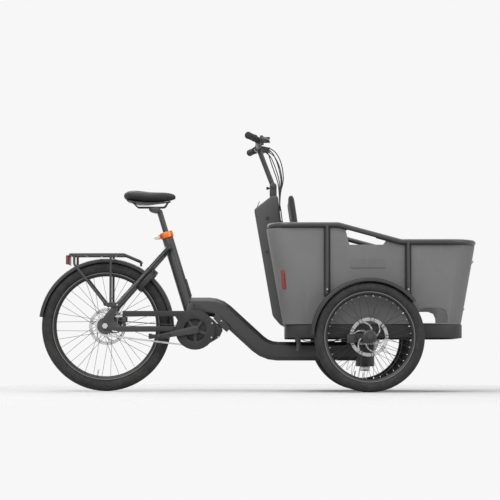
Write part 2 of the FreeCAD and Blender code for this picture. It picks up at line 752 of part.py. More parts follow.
def chain_stays():
    """Flat-sided stays with dropout plates; the near one also carries the chain guard's post."""
    front, rear = S.crank_ahead - S.yoke_back, S.stay_start
    splay = math.atan2(float(S.stay_rear_half - S.stay_front_half), float(front - rear))
    run = root((front - rear) * (front - rear)
               + (S.stay_rear_half - S.stay_front_half) * (S.stay_rear_half - S.stay_front_half))
    bar = block("chain_stay", (run, S.stay_thick, S.stay_tall),
                (rear_x + (front + rear) / 2, (S.stay_rear_half + S.stay_front_half) / -2,
                 S.chain_stay_height),
                Rotation(Vector(0, 0, 1), math.degrees(splay)))
    trim = block("yoke_face", (S.overrun, S.yoke_half * 4, S.overrun * 3),
                 (rear_x + front + S.overrun / 2, 0, S.chain_stay_height))
    middle = S.dropout_inside + S.dropout_thick / 2
    reach, eye = S.dropout_reach, S.nut_radius
    level = S.chain_stay_height - rear_z
    lip_share, throat_share, back_share = 1.2, 0.62, 0.3
    dropout = plate("dropout", [
        (-eye, -eye / 2), (-eye / 2, -eye), (eye / 2, -eye * lip_share), (reach, level - S.stay_tall / 2),
        (reach + S.stay_thick, level - S.stay_tall / 2), (reach + S.stay_thick, level + S.stay_tall / 2),
        (reach * throat_share, eye * 2), tongue_corner(1), tongue_corner(-1),
        (S.tongue_width * -back_share, S.seat_stay_foot_height - rear_z), (-eye, eye / 2),
    ], S.dropout_thick, (rear_x, -middle, rear_z), holes=[((0, 0), S.rear_axle_radius + S.running_gap)])
    stay = fused("stay_and_dropout", cut("chain_stay_trimmed", bar, trim), dropout)
    post_tall = S.guard_arm_high - S.chain_stay_height
    post_inside = S.guard_inside - S.guard_thick
    post = block("guard_post", (S.guard_post_width, S.guard_thick, post_tall),
                 (crank_x - S.guard_arm_back + S.guard_post_width / 2,
                  -post_inside - S.guard_thick / 2 + S.running_gap,
                  S.chain_stay_height + post_tall / 2))
    shoe = block("guard_post_shoe", (S.guard_post_width, S.stay_thick, S.stay_thick),
                 (crank_x - S.guard_arm_back + S.guard_post_width / 2,
                  -post_inside - S.stay_thick / 2 + S.running_gap, S.chain_stay_height + S.stay_thick / 2))
    near = fused("near_chain_stay", stay, post, shoe)
    node("chain_stays", group("chain_stays", near, mirrored(stay)))


def seat_stays():
    """Round stays from the dropouts to a cross tube behind the seat tube, with a mudguard bridge."""
    foot, top = seat_stay_line()
    begin = on_seat_stay(S.seat_stay_start)
    near = straight_rod("seat_stay", (begin[0], -begin[2], begin[1]), (top[0], -top[2], top[1]),
                        S.seat_stay_radius)
    width = (S.seat_stay_top_half + S.seat_stay_radius) * 2
    wishbone = bar("wishbone", S.seat_stay_radius, width, (top[0], width / -2, top[1]), ACROSS)
    run, rise = top[0] - foot[0], top[1] - foot[1]
    length = root(run * run + rise * rise)
    ahead, up = foot[0] - rear_x, foot[1] - rear_z
    reach = S.rear_guard_radius + S.bridge_radius + S.seat_gap
    along = (ahead * run + up * rise) / length
    span = root(reach * reach - (ahead * ahead + up * up) + along * along) - along
    middle = on_seat_stay(span)
    bridge = bar("mudguard_bridge", S.bridge_radius, middle[2] * 2, (middle[0], -middle[2], middle[1]),
                 ACROSS)
    place, lean = seat_place()
    clear = prism("seat_tube_space", SEAT_TUBE_SIDES, S.seat_tube_radius + S.running_gap, S.seat_tube_top,
                  place, lean)
    joined_stays = fused("seat_stays_whole", near, mirrored(near), wishbone, bridge)
    node("seat_stays", cut("seat_stays", joined_stays, clear))


def motor():
    """Mid motor hung under the main tube, with the crank spindle's bore through it."""
    under = tube_underside()
    half, low = S.motor_half, S.motor_half + S.spindle_radius
    nose = S.tube_upper_ahead + S.spindle_radius * 2 - S.tube_wall
    back_share, shoulder_share, chin_share = 0.9, 0.7, 0.75
    belly_shares = ((-0.5, -0.95), (0.3, -1.12), (1.25, -1.05))
    outline = [
        (-low * back_share, half / -2), *[(low * x, low * z) for x, z in belly_shares],
        (nose - S.tube_wall * 5, -half * chin_share), (nose, -S.tube_wall), (nose, S.tube_wall * 2),
        (S.tube_upper_ahead - S.spindle_radius * 2, under - S.spindle_radius - S.tube_wall),
        (S.tube_upper_ahead - S.motor_half, under - S.seat_gap), (-S.tube_wall, under - S.seat_gap),
        (-low * back_share, half * shoulder_share),
    ]
    node("motor_unit", plate("motor_unit", outline, S.motor_half * 2, (crank_x, 0, crank_z),
                             holes=[((0, 0), S.spindle_radius + S.running_gap)]))


def chain_guard():
    """A ring over the chainring's edge and a straight arm along the upper run, on two motor bosses."""
    middle = -(S.guard_inside + S.guard_thick / 2)
    at = (crank_x, middle - S.guard_thick / 2, crank_z)
    ring = cut("guard_ring", prism("guard_disc", GUARD_SIDES, S.guard_radius, S.guard_thick, at),
               prism("guard_window", GUARD_SIDES, S.guard_hole, S.guard_thick, at))
    low, high = S.guard_arm_low - crank_z, S.guard_arm_high - crank_z
    throat_share, rise_share, crown_share, inset_share = 0.78, 0.55, 1.3, 1.6
    arm = plate("guard_arm", [
        (-S.guard_arm_back, low), (-S.guard_radius, low),
        (-S.guard_radius * throat_share, S.guard_hole * rise_share), (S.guard_hole / -2, S.guard_hole),
        (0, S.guard_hole * crown_share), (0, high), (-S.guard_arm_back, high),
    ], S.guard_thick, (crank_x, middle, crank_z))
    bosses = []
    for name, turn in (("upper", 20), ("lower", -25)):
        place = S.guard_radius - S.guard_boss_radius * inset_share
        x = crank_x + place * math.cos(math.radians(turn))
        z = crank_z + place * math.sin(math.radians(turn))
        start = -S.guard_inside - S.guard_thick / 2
        bosses.append(bar(f"guard_boss_{name}", S.guard_boss_radius, -start - S.motor_half - S.running_gap,
                          (x, start, z), ACROSS))
    node("chain_guard", fused("chain_guard", ring, arm, *bosses))


def rear_axle():
    """Fixed axle with nuts; its far end stands free of the nut, where a trailer hitch goes on."""
    out = S.dropout_inside + S.dropout_thick
    free = S.nut_radius + S.running_gap * 25
    spacer = S.rear_axle_radius + S.tube_wall
    shaft = rod("axle_shaft", S.rear_axle_radius, out * 2 + S.nut_thick * 2 + free + S.hub_flange_thick,
                (rear_x, -out - S.nut_thick - S.hub_flange_thick, rear_z), ACROSS)
    near = hex_nut("near_nut", S.nut_radius, S.nut_thick, (rear_x, -out - S.nut_thick, rear_z), ACROSS)
    far = hex_nut("far_nut", S.nut_radius, S.nut_thick, (rear_x, out, rear_z), ACROSS)
    rotor_face = S.rear_hub_left + S.rotor_thick
    far_spacer = bar("far_spacer", spacer, S.dropout_inside - rotor_face - S.seat_gap,
                     (rear_x, rotor_face + S.seat_gap, rear_z), ACROSS)
    node("rear_axle", fused("rear_axle", shaft, near, far, far_spacer))


def mudguard(name, at, radius, half, skirt, begin, stop):
    """A thin channel bent round the wheel between two angles."""
    crown_share = 0.78
    sheet_thick = S.guard_sheet
    low, crown = radius - skirt, half * crown_share
    outline = [
        (low, half), (radius, crown), (radius, -crown), (low, -half), (low, sheet_thick - half),
        (radius - sheet_thick, sheet_thick - crown), (radius - sheet_thick, crown - sheet_thick),
        (low, half - sheet_thick),
    ]
    begin, stop = float(begin), float(stop)
    steps = round((stop - begin) / GUARD_STEP)
    return put(formed(name, swung(outline, begin, stop, steps)), at, WHEEL)


def rear_carrier():
    """Tube carrier: two side rails closed at both ends, two pairs of legs and cross slats."""
    half, radius, high = S.carrier_half, S.carrier_radius, S.carrier_height
    nose_high = high - S.carrier_nose_drop
    tail, nose = rear_x - S.carrier_back, rear_x + S.carrier_nose_ahead
    knee = rear_x + S.carrier_bend_ahead
    hoop = bent_rod("carrier_hoop", [
        (tail, 0, high), (tail, -half, high), (knee, -half, high), (nose, -half, nose_high),
        (nose, half, nose_high), (knee, half, high), (tail, half, high), (tail, 0, high),
    ], radius, S.carrier_bend, SLIM_SIDES)
    foot = S.carrier_foot_height
    leg_x = rear_x - S.carrier_leg_back
    front_leg = straight_rod("carrier_front_leg", (rear_x + S.carrier_leg_ahead, -half, foot),
                             (rear_x + S.carrier_leg_ahead, -half, high), radius)
    rear_leg = bent_rod("carrier_rear_leg", [
        (leg_x, -half, high), (leg_x, -half, S.carrier_leg_knee), (rear_x, -half, foot),
    ], radius, S.carrier_bend, SLIM_SIDES)
    stay = on_seat_stay(S.seat_stay_start + S.seat_stay_radius)
    plate_y = on_seat_stay(S.seat_stay_start)[2] + S.seat_stay_radius + S.seat_gap + S.foot_plate_thick / 2
    wing, toe_share = S.tongue_width / 2, 1.6
    foot_plate = plate("carrier_foot", [
        (-wing, foot + wing / 2), (S.carrier_leg_ahead + wing, foot + wing / 2),
        (stay[0] - rear_x + wing * toe_share, stay[1] + wing), (stay[0] - rear_x, stay[1] - wing),
        (-wing / 2, foot - wing),
    ], S.foot_plate_thick, (rear_x, -plate_y, 0))
    near = fused("carrier_near_side", front_leg, rear_leg, foot_plate)
    slat_shares = (0.28, 0.55, 0.82)
    slats = [bar(f"carrier_slat_{n}", S.carrier_slat, half * 2,
                 (tail + (knee - tail) * share, -half, high), ACROSS)
             for n, share in enumerate(slat_shares)]
    light_plate = block("light_plate", (S.light_plate, S.light_wide, S.light_tall + radius),
                        (tail - radius, 0, high - S.light_tall / 2))
    drop = S.carrier_nose_drop
    bracket = cut("nose_bracket", block("nose_block", (S.carrier_slat * 2, S.tongue_width, drop),
                                        (nose, 0, nose_high - drop / 2)),
                  rod("mudguard_space", S.rear_guard_radius + S.seat_gap, S.tongue_width * 2,
                      (rear_x, -S.tongue_width, rear_z), ACROSS))
    node("rear_carrier", fused("rear_carrier", hoop, near, mirrored(near), light_plate, bracket, *slats))
    node("rear_light", block("rear_light", (S.light_deep, S.light_wide, S.light_tall),
                             (tail - radius - S.light_plate / 2 - S.light_deep / 2, 0,
                              high - S.light_tall / 2)))


def lock_place():
    """The ring lock's middle, just under the seat stays, and the turn that lays it on them."""
    foot, top = seat_stay_line()
    slope = math.atan2(float(top[1] - foot[1]), float(top[0] - foot[0]))
    x, z, _ = on_seat_stay(S.lock_along)
    x = x - S.lock_offset * math.sin(slope)
    z = z + S.lock_offset * math.cos(slope)
    upward = Vector(math.cos(slope), 0, math.sin(slope))
    normal = Vector(-math.sin(slope), 0, math.cos(slope))
    turn = Rotation(upward, Vector(0, 1, 0), normal, "ZXY")
    return (x, 0, z), turn


def ring_lock():
    """A horseshoe lock round the tyre, hollow for the shackle that swings across its mouth."""
    at, turn = lock_place()
    mouth = 2 * float(S.lock_gap)
    half, thick = S.lock_wide / 2, S.lock_thick / 2
    begin = turn.multiply(Rotation(Vector(0, 0, 1), 180 + mouth / 2))
    groove = S.shackle_radius + S.seat_gap
    outer, inner = S.lock_radius + half, S.lock_radius - half
    sweep = 360 - mouth
    case = formed("lock_case",
                  swung([(inner, -thick), (outer, -thick), (outer, thick), (inner, thick)], 0, sweep,
                                     LOCK_STEPS))
    hollow = formed("lock_hollow", swung([
        (S.lock_radius - groove, -groove), (S.lock_radius + groove, -groove),
        (S.lock_radius + groove, groove), (S.lock_radius - groove, groove),
    ], 0, sweep, LOCK_STEPS))
    for part in (case, hollow):
        put(part, at, begin)
    node("ring_lock", cut("ring_lock", case, hollow))
    radius = S.shackle_radius
    shackle = formed("lock_shackle", swung([
        (S.lock_radius + radius * math.cos(turn), radius * math.sin(turn))
        for turn in (math.tau * side / SHACKLE_SIDES for side in range(SHACKLE_SIDES))
    ], 0, sweep / LOCK_STEPS * SHACKLE_STEPS, SHACKLE_STEPS))
    put(shackle, at, begin)
    node("lock_shackle", shackle)


def caliper(name, at, lengths, axle_x, way):
    """A brake caliper block and the slot that takes the rotor, closed just beyond the rotor's edge."""
    whole = block(f"{name}_block", lengths, at)
    space = (S.rotor_radius + S.rail_gap, S.caliper_slot, lengths[2] + S.overrun)
    return whole, block(f"{name}_slot", space, (axle_x + space[0] / 2 * way, at[1], at[2]))


def rear_brake():
    """Rear caliper between the far stays, on a bracket bolted to the far dropout."""
    turn = 26
    rotor_y = S.rear_hub_left + S.rotor_thick / 2
    x = rear_x + S.caliper_reach * math.cos(math.radians(turn))
    z = rear_z + S.caliper_reach * math.sin(math.radians(turn))
    whole, slot = caliper("rear_caliper", (x, rotor_y, z),
                          (S.caliper_tall, S.caliper_wide, S.caliper_long), rear_x, 1)
    out = S.dropout_inside + S.dropout_thick + S.running_gap
    eye_share, waist_share, low_share, top_share, high_share = 1.3, 0.7, 0.6, 0.8, 1.3
    bracket = plate("rear_bracket", [
        (S.nut_radius * eye_share, S.nut_radius / 2), (S.caliper_reach * waist_share, 0),
        (S.caliper_reach, S.caliper_long * low_share),
        (S.caliper_reach * top_share, S.caliper_long * high_share),
        (S.nut_radius * 2, S.nut_radius * 2),
    ], S.bracket_thick, (rear_x, out + S.bracket_thick / 2, rear_z))
    bridge_wide = out + S.bracket_thick - rotor_y
    bridge = block("rear_bridge", (S.caliper_tall / 2, bridge_wide, S.caliper_long / 2),
                   (x + S.caliper_tall / 4, rotor_y + bridge_wide / 2, z))
    node("rear_caliper", fused("rear_caliper", cut("rear_caliper_open", whole, slot), bracket,
                               cut("rear_bridge_open", bridge, slot)))


def gear_cable():
    """The hub's gear cable along the top of the near chain stay, from the dropout to the yoke."""
    front = S.crank_ahead - S.yoke_back
    over = S.chain_stay_height + S.stay_tall / 2 + S.cable_radius + S.seat_gap * 2
    points = [
        (rear_x + S.cable_rear_ahead, -S.stay_rear_half + S.cable_radius, S.cable_rear_height),
        (rear_x + S.cable_mid_ahead, -S.stay_rear_half + S.cable_radius * 2, S.cable_mid_height),
        (rear_x + front - S.seat_gap * 2, -S.stay_front_half - S.cable_radius, over),
    ]
    cable = cord("gear_cable", points, S.cable_radius, S.tube_lower_bend)
    node("gear_cable", cable)


# Drive

RING_TEETH = 38
SPROCKET_TEETH = 22


def chain_path():
    """Pitch radii of the chainring and of the rear sprocket."""
    def pitch_radius(teeth):
        return float(S.chain_pitch) / 2 / math.sin(math.pi / teeth)
    return pitch_radius(RING_TEETH), pitch_radius(SPROCKET_TEETH)


def chain_places():
    """Evenly spaced joints of the chain, each with its place and the angle from its wheel's middle."""
    ring, sprocket = chain_path()
    front, rear = point(crank_x, 0, crank_z), point(rear_x, 0, rear_z)
    span = front - rear
    slope = math.atan2(span.z, span.x)
    lean = math.asin((ring - sprocket) / span.Length)
    straight = span.Length * math.cos(lean)
    over, under = slope + math.pi / 2 + lean, slope - math.pi / 2 - lean
    ring_arc, sprocket_arc = ring * (math.pi + 2 * lean), sprocket * (math.pi - 2 * lean)
    total = straight * 2 + ring_arc + sprocket_arc
    links = 2 * round(total / float(S.chain_pitch) / 2)
    places = []
    for number in range(links):
        along = total * number / links
        if along < ring_arc:
            angle = over - along / ring
            places.append(front + Vector(math.cos(angle), 0, math.sin(angle)) * ring)
            continue
        along -= ring_arc
        if along < straight:
            start = front + Vector(math.cos(under), 0, math.sin(under)) * ring
            stop = rear + Vector(math.cos(under), 0, math.sin(under)) * sprocket
            places.append(start + (stop - start) * (along / straight))
            continue
        along -= straight
        if along < sprocket_arc:
            angle = under - along / sprocket
            places.append(rear + Vector(math.cos(angle), 0, math.sin(angle)) * sprocket)
            continue
        along -= sprocket_arc
        start = rear + Vector(math.cos(over), 0, math.sin(over)) * sprocket
        stop = front + Vector(math.cos(over), 0, math.sin(over)) * ring
        places.append(start + (stop - start) * (along / straight))
    return places


def drive_chain():
    """Roller chain: slim outer and wide inner link plates by turns, with a roller at every joint."""
    places = chain_places()
    tall, thick, inside = float(S.plate_tall), float(S.plate_thick), float(S.plate_inside)
    radius = float(S.roller_radius)
    pieces = []
    for number, (start, stop) in enumerate(zip(places, places[1:] + places[:1])):
        gap = inside if number % 2 else inside + thick + float(S.plate_step)
        turn = Rotation(Vector(1, 0, 0), stop - start)
        for low in (gap, -gap - thick):
            slab = Part.makeBox((stop - start).Length, thick, tall)
            slab.Placement = Placement(start + Vector(0, low - float(S.chain_line), 0)
                                       - turn.multVec(Vector(0, 0, tall / 2)), turn)
            pieces.append(slab)
        side = inside - float(S.plate_step)
        rim = [Vector(radius * math.cos(a), -side, radius * math.sin(a)) / 2
               for a in (math.radians(120 * step) for step in range(4))]
        roller = Part.Face(Part.makePolygon(rim)).extrude(Vector(0, side * 2, 0))
        roller.Placement = Placement(start - Vector(0, float(S.chain_line) + side / 2, 0), turn)
        pieces.append(roller)
    node("drive_chain", formed("drive_chain", Part.makeCompound(pieces)))


def toothed(name, teeth, pitch_radius, at, phase, inside):
    """A flat ring with a gap for a roller between each pair of teeth."""
    owner = body(name, at, WHEEL.multiply(Rotation(Vector(0, 0, 1), phase)))
    drawing = sketch(owner, "XY_Plane", "blank")
    for sides, radius in ((teeth, pitch_radius + S.tooth_rise), (teeth // 2, inside)):
        polygon(drawing, [(radius * math.cos(turn), radius * math.sin(turn))
                          for turn in (math.tau * side / sides for side in range(sides))])
    pad(owner, drawing, S.ring_thick)
    gap = sketch(owner, "XY_Plane", "gap")
    floor = S.roller_radius + S.tooth_gap
    mouth_share, root_share = 1.3, 0.8
    mouth = floor * mouth_share
    outer = pitch_radius + S.tooth_rise * 2
    polygon(gap, [
        (pitch_radius - floor, -floor * root_share), (outer, -mouth), (outer, mouth),
        (pitch_radius - floor, floor * root_share),
    ])
    feature = pocket(owner, gap, S.ring_thick * 2)
    around(owner, gap, feature, teeth)
    return owner


def roller_phase(centre, radius):
    """The angle of a chain joint that lies on the pitch circle, so that teeth and rollers mesh."""
    near_share = 0.01
    spots = [p for p in chain_places() if abs((p - centre).Length - radius) < near_share * radius]
    spot = spots[len(spots) // 2] - centre
    return math.degrees(math.atan2(spot.z, spot.x))


def sprockets():
    ring, sprocket = chain_path()
    front, rear = point(crank_x, 0, crank_z), point(rear_x, 0, rear_z)
    line = -S.chain_line
    ring_pitch = S.chain_pitch * (ring / float(S.chain_pitch))
    sprocket_pitch = S.chain_pitch * (sprocket / float(S.chain_pitch))
    rim_share, arm_share, arm_middle_share = 0.86, 0.84, 0.48
    teeth = toothed("ring_teeth", RING_TEETH, ring_pitch, (crank_x, line, crank_z),
                    roller_phase(front, ring),
                    ring_pitch * rim_share)
    boss_long = S.guard_inside - S.motor_half - S.seat_gap * 2
    boss = prism("spider_boss", HUB_SIDES, S.spider_boss_radius, boss_long,
                 (crank_x, -S.guard_inside + S.seat_gap, crank_z))
    arms = []
    for number in range(5):
        turn = Rotation(Vector(0, 1, 0), 72 * number + 18)
        away = turn.multVec(Vector(1, 0, 0)) * (float(ring_pitch) * arm_middle_share)
        arms.append(block(f"spider_arm_{number}", (ring_pitch * arm_share, S.ring_thick, S.spider_width),
                          point(crank_x, line, crank_z) + away, turn))
    bore = rod("spider_bore", S.spindle_radius, S.guard_inside * 2,
               (crank_x, S.guard_inside * -3 / 2, crank_z), ACROSS)
    node("chainring", cut("chainring", fused("chainring_whole", teeth, boss, *arms), bore))
    inside = S.rear_axle_radius + S.running_gap
    hidden_share = 0.85
    disc = toothed("sprocket_teeth", SPROCKET_TEETH, sprocket_pitch, (rear_x, line, rear_z),
                   roller_phase(rear, sprocket), S.hub_barrel_radius * hidden_share)
    start, stop = S.rear_hub_right + S.seat_gap, S.dropout_inside - S.seat_gap
    driver = prism("driver", HUB_SIDES, S.hub_barrel_radius, stop - start, (rear_x, -stop, rear_z))
    bore = rod("driver_bore", inside, stop - start, (rear_x, -stop, rear_z), ACROSS)
    node("rear_sprocket", cut("rear_sprocket", fused("sprocket_whole", disc, driver), bore))


def cranks():
    """Spindle, both arms and the pedal axles, as they are bolted up."""
    span = (S.arm_inside + S.arm_thick) * 2
    spindle = rod("crank_spindle", S.spindle_radius, span, (crank_x, span / -2, crank_z), ACROSS)
    boss, tip, reach = S.arm_boss_radius, S.arm_tip_radius, S.crank_arm
    flat_share = 0.45
    flat = boss * flat_share
    outline = [
        (-boss, -flat), (-flat, -boss), (flat, -boss), (reach - tip, -tip), (reach + tip / 2, -tip),
        (reach + tip, 0),
        (reach + tip / 2, tip), (reach - tip, tip), (flat, boss), (-flat, boss), (-boss, flat),
    ]
    middle = S.arm_inside + S.arm_thick / 2
    pieces = [spindle]
    for name, side in (("right", -1), ("left", 1)):
        angle = float(S.crank_droop) + (180 if side < 0 else 0)
        turn = Rotation(Vector(0, 1, 0), -angle)
        pieces.append(plate(f"{name}_arm", outline, S.arm_thick, (crank_x, middle * side, crank_z), turn))
        x, z = pedal_place(side)
        inner = S.arm_inside + S.arm_thick / 2
        start = inner * side if side > 0 else -(inner + S.arm_thick / 2 + S.pedal_axle_long)
        pieces.append(rod(f"{name}_pedal_axle", S.pedal_axle_radius, S.pedal_axle_long + S.arm_thick / 2,
                          (x, start, z), ACROSS))
    node("cranks", fused("cranks", *pieces))


def pedal_place(side):
    angle = S.crank_droop
    return crank_x + S.crank_arm * cosine(angle) * side, crank_z + S.crank_arm * sine(angle) * side


def pedals():
    """Flat pedals: a core on the axle, two tread bars and two end plates."""
    end_share = 0.7
    for name, side in (("right", -1), ("left", 1)):
        x, z = pedal_place(side)
        y = (S.arm_inside + S.arm_thick + S.pedal_gap + S.pedal_wide / 2) * side
        label = f"{name}_pedal"
        core = bar(f"{label}_core", S.pedal_core_radius, S.pedal_wide, (x, y - S.pedal_wide / 2, z), ACROSS)
        bars = [block(f"{label}_bar_{n}", (S.pedal_bar, S.pedal_wide, S.pedal_tall),
                      (x + (S.pedal_long - S.pedal_bar) / 2 * way, y, z)) for n, way in enumerate((-1, 1))]
        ends = [block(f"{label}_end_{n}", (S.pedal_long, S.pedal_bar / 2, S.pedal_tall * end_share),
                      (x, y + (S.pedal_wide - S.pedal_bar / 2) / 2 * way, z)) for n,
                      way in enumerate((-1, 1))]
        bore = rod(f"{label}_bore", S.pedal_axle_radius + S.running_gap, S.pedal_wide + S.overrun * 2,
                   (x, y - S.pedal_wide / 2 - S.overrun, z), ACROSS)
        node(label, cut(label, fused(f"{label}_whole", core, *bars, *ends), bore))


# Saddle

def seat_clamp():
    """Split collar at the seat tube's top with ears behind, and its quick-release lever."""
    place, lean = seat_place()
    grip_share, ear_share, blade_share = 0.8, 0.7, 0.7
    foot = S.seat_tube_top - S.collar_tall * grip_share
    ring = cut("collar_ring",
               prism("collar_outside", SEAT_TUBE_SIDES, S.collar_radius, S.collar_tall, (0, 0, foot), None),
               prism("collar_inside", SEAT_TUBE_SIDES, S.seat_tube_radius + S.running_gap, S.collar_tall,
                     (0, 0, foot), None))
    middle = foot + S.collar_tall / 2
    ears = block("collar_ears", (S.ear_long, S.ear_half * 2, S.collar_tall * ear_share),
                 (-S.collar_radius - S.ear_long / 2 + S.tube_wall, 0, middle))
    pin_y = -S.ear_half - S.lever_thick / 2 - S.lever_gap
    pin_x = -S.collar_radius - S.ear_long / 2
    yoke = block("lever_yoke",
                 (S.ear_long * ear_share, S.lever_thick + S.lever_gap * 2, S.collar_tall * ear_share),
                 (pin_x, pin_y, middle))
    space = block("lever_space", (S.ear_long * 2, S.overrun, S.lever_tall + S.lever_gap * 2),
                  (pin_x, pin_y - S.overrun / 2 + S.lever_thick / 2 + S.lever_gap, middle))
    pin = rod("lever_pin", S.lever_pin_radius, S.collar_tall * ear_share,
              (pin_x, pin_y, middle - S.collar_tall * ear_share / 2))
    whole = fused("seat_clamp", ring, ears, cut("lever_yoke_open", yoke, space), pin)
    node("seat_clamp", put(whole, place, lean))

    hub = bar("lever_hub", S.lever_thick / 2, S.lever_tall, (pin_x, pin_y, middle - S.lever_tall / 2))
    blade = block("lever_blade", (S.lever_long, S.lever_thick * blade_share, S.lever_tall),
                  (pin_x - S.lever_long / 2, pin_y - S.lever_gap, middle))
    eye = rod("lever_eye", S.lever_pin_radius + S.running_gap, S.lever_tall * 2,
              (pin_x, pin_y, middle - S.lever_tall))
    lever = cut("seat_clamp_lever", fused("lever_whole", hub, blade), eye)
    node("seat_clamp_lever", put(lever, place, lean))


def seat_post():
    """Post and its head, which grips the saddle's two rails."""
    lean = seat_place()[1]
    shaft = rod("post_shaft", S.post_radius, S.post_top - S.post_foot, up_seat_tube(S.post_foot), lean)
    x, z = rail_middle()
    head = block("post_head", (S.saddle_head_long, S.saddle_head_half * 2, S.saddle_head_tall), (x, 0, z))
    grooves = [rod(f"rail_groove_{n}", S.saddle_rail_radius + S.running_gap, S.saddle_head_long * 2,
                   (x - S.saddle_head_long, S.saddle_rail_half * way, z), Rotation(Vector(0, 1, 0), 90))
               for n, way in enumerate((-1, 1))]
    node("seat_post", cut("seat_post", fused("post_and_head", shaft, head), *grooves))


def rail_middle():
    """Where the post's head meets the saddle rails."""
    return crank_x - S.post_top * sine(S.seat_angle), S.saddle_floor - S.saddle_rail_drop


def saddle_station(share, width_share, low_share, high_share):
    """One cross-section of the saddle: a flat floor, drawn-in sides and a crowned top."""
    x = float(rear_x + S.saddle_back + S.saddle_long * share)
    half = float(S.saddle_width) / 2 * width_share
    low = float(S.saddle_floor + S.saddle_crown * low_share)
    tall = float(S.saddle_crown) * (high_share - low_share)
    side_shares = [(0.94, 0.0), (1.0, 0.34), (0.99, 0.62), (0.8, 0.86), (0.42, 0.97)]
    right = [Vector(x, -half * out, low + tall * up) for out, up in side_shares]
    left = [Vector(x, half * out, low + tall * up) for out, up in reversed(side_shares)]
    return right + [Vector(x, 0, low + tall)] + left


def saddle():
    """Padded cover over a moulded shell, on two steel rails."""
    station_shares = [
        (0.0, 0.42, 0.42, 0.72), (0.1, 0.78, 0.24, 0.96), (0.25, 1.0, 0.1, 1.0), (0.45, 0.78, 0.06, 0.9),
        (0.62, 0.42, 0.1, 0.88), (0.82, 0.26, 0.16, 0.86), (1.0, 0.18, 0.3, 0.62),
    ]
    cover = through([saddle_station(*shares) for shares in station_shares])
    node("saddle_cover", formed("saddle_cover", cover))
    z = rail_middle()[1]
    half, radius = S.saddle_rail_half, S.saddle_rail_radius
    floor = S.saddle_floor
    tail_share, nose_share, seat_share, splay_share, lead_share, bend_share = 0.16, 0.86, 0.16, 1.3, 1.6, 0.8
    tail = rear_x + S.saddle_back + S.saddle_long * tail_share
    nose = rear_x + S.saddle_back + S.saddle_long * nose_share
    seat = floor + S.saddle_crown * seat_share
    rails = [bent_rod(f"saddle_rail_{n}", [
        (tail, half * splay_share * way, seat), (tail + S.saddle_rail_drop * lead_share, half * way, z),
        (nose - S.saddle_rail_drop, half * way, z), (nose, half / 2 * way, seat),
    ], radius, S.saddle_rail_drop * bend_share, SLIM_SIDES) for n, way in enumerate((-1, 1))]
    shell_shares = [(0.06, 0.5, 0.3), (0.25, 0.86, 0.1), (0.45, 0.64, 0.06), (0.62, 0.32, 0.1),
                    (0.9, 0.14, 0.2)]
    shell = formed("saddle_shell_form", through([saddle_floor_station(*shares) for shares in shell_shares]))
    whole = fused("saddle_base_whole", shell, *rails)
    padding = formed("saddle_padding_space", cover.translated(point(0, 0, -S.seat_gap)))
    node("saddle_base", cut("saddle_base", whole, padding))


def saddle_floor_station(share, width_share, low_share):
    """One cross-section of the shell under the padding."""
    x = float(rear_x + S.saddle_back + S.saddle_long * share)
    half = float(S.saddle_width) / 2 * width_share
    high = float(S.saddle_floor + S.saddle_crown * low_share + S.saddle_shell_thick)
    low = high - float(S.saddle_shell_thick) * 2
    return [Vector(x, half, low), Vector(x, -half, low), Vector(x, -half, high), Vector(x, half, high)]


# Front unit

def box_outline(height, inset):
    """The box's level outline at a height, its walls leaning out as they rise."""
    share = (height - S.tray_top) / S.box_tall
    rear = front_x + S.box_rear_foot - S.box_rear_lean * share + inset
    front = front_x + S.box_front_foot + S.box_front_lean * share - inset
    half = S.box_foot_half + S.box_side_lean * share - inset
    return rounded_outline(rear, front, half, S.box_rear_corner - inset, S.box_front_corner - inset, height)


def column_front(height):
    """The front face of the column at a height, ahead of the rear axle."""
    tall = S.column_top_height - S.tray_top
    return S.column_foot_ahead + (S.column_front_ahead
                                  - S.column_foot_ahead) * ((height - S.tray_top) / tall)


def column_channel(name, clear):
    """The upright channel in the box's rear wall that takes the column."""
    low, high = S.tray_top - S.overrun, S.tray_top + S.box_tall + S.overrun
    outline = [
        (front_x + column_front(low) + clear, low), (front_x + column_front(high) + clear, high),
        (rear_x, high), (rear_x, low),
    ]
    return plate(name, outline, (S.column_half + clear) * 2)


def box_side_outline():
    """The box's side view: high behind, stepped down under the sloping rail, with the hand openings."""
    under = S.rail_radius + S.rail_gap
    drop = (S.rail_rear_height - S.rail_front_height) / (S.rail_drop_end - S.rail_drop_start)
    high, low = S.rail_rear_height - under, S.rail_front_height - under

    def beneath(ahead):
        return high - (ahead - S.rail_drop_start) * drop
    return [
        (rear_x, S.tray_top), (rear_x, high), (front_x + S.rail_drop_start, high),
        (front_x + S.grip_start, beneath(S.grip_start)),
        (front_x + S.grip_floor_start, S.grip_floor_height),
        (front_x + S.grip_floor_end, S.grip_floor_height), (front_x + S.grip_end, beneath(S.grip_end)),
        (front_x + S.rail_drop_end, low), (front_x + S.rail_front_ahead + S.overrun * 2, low),
        (front_x + S.rail_front_ahead + S.overrun * 2, S.tray_top),
    ]


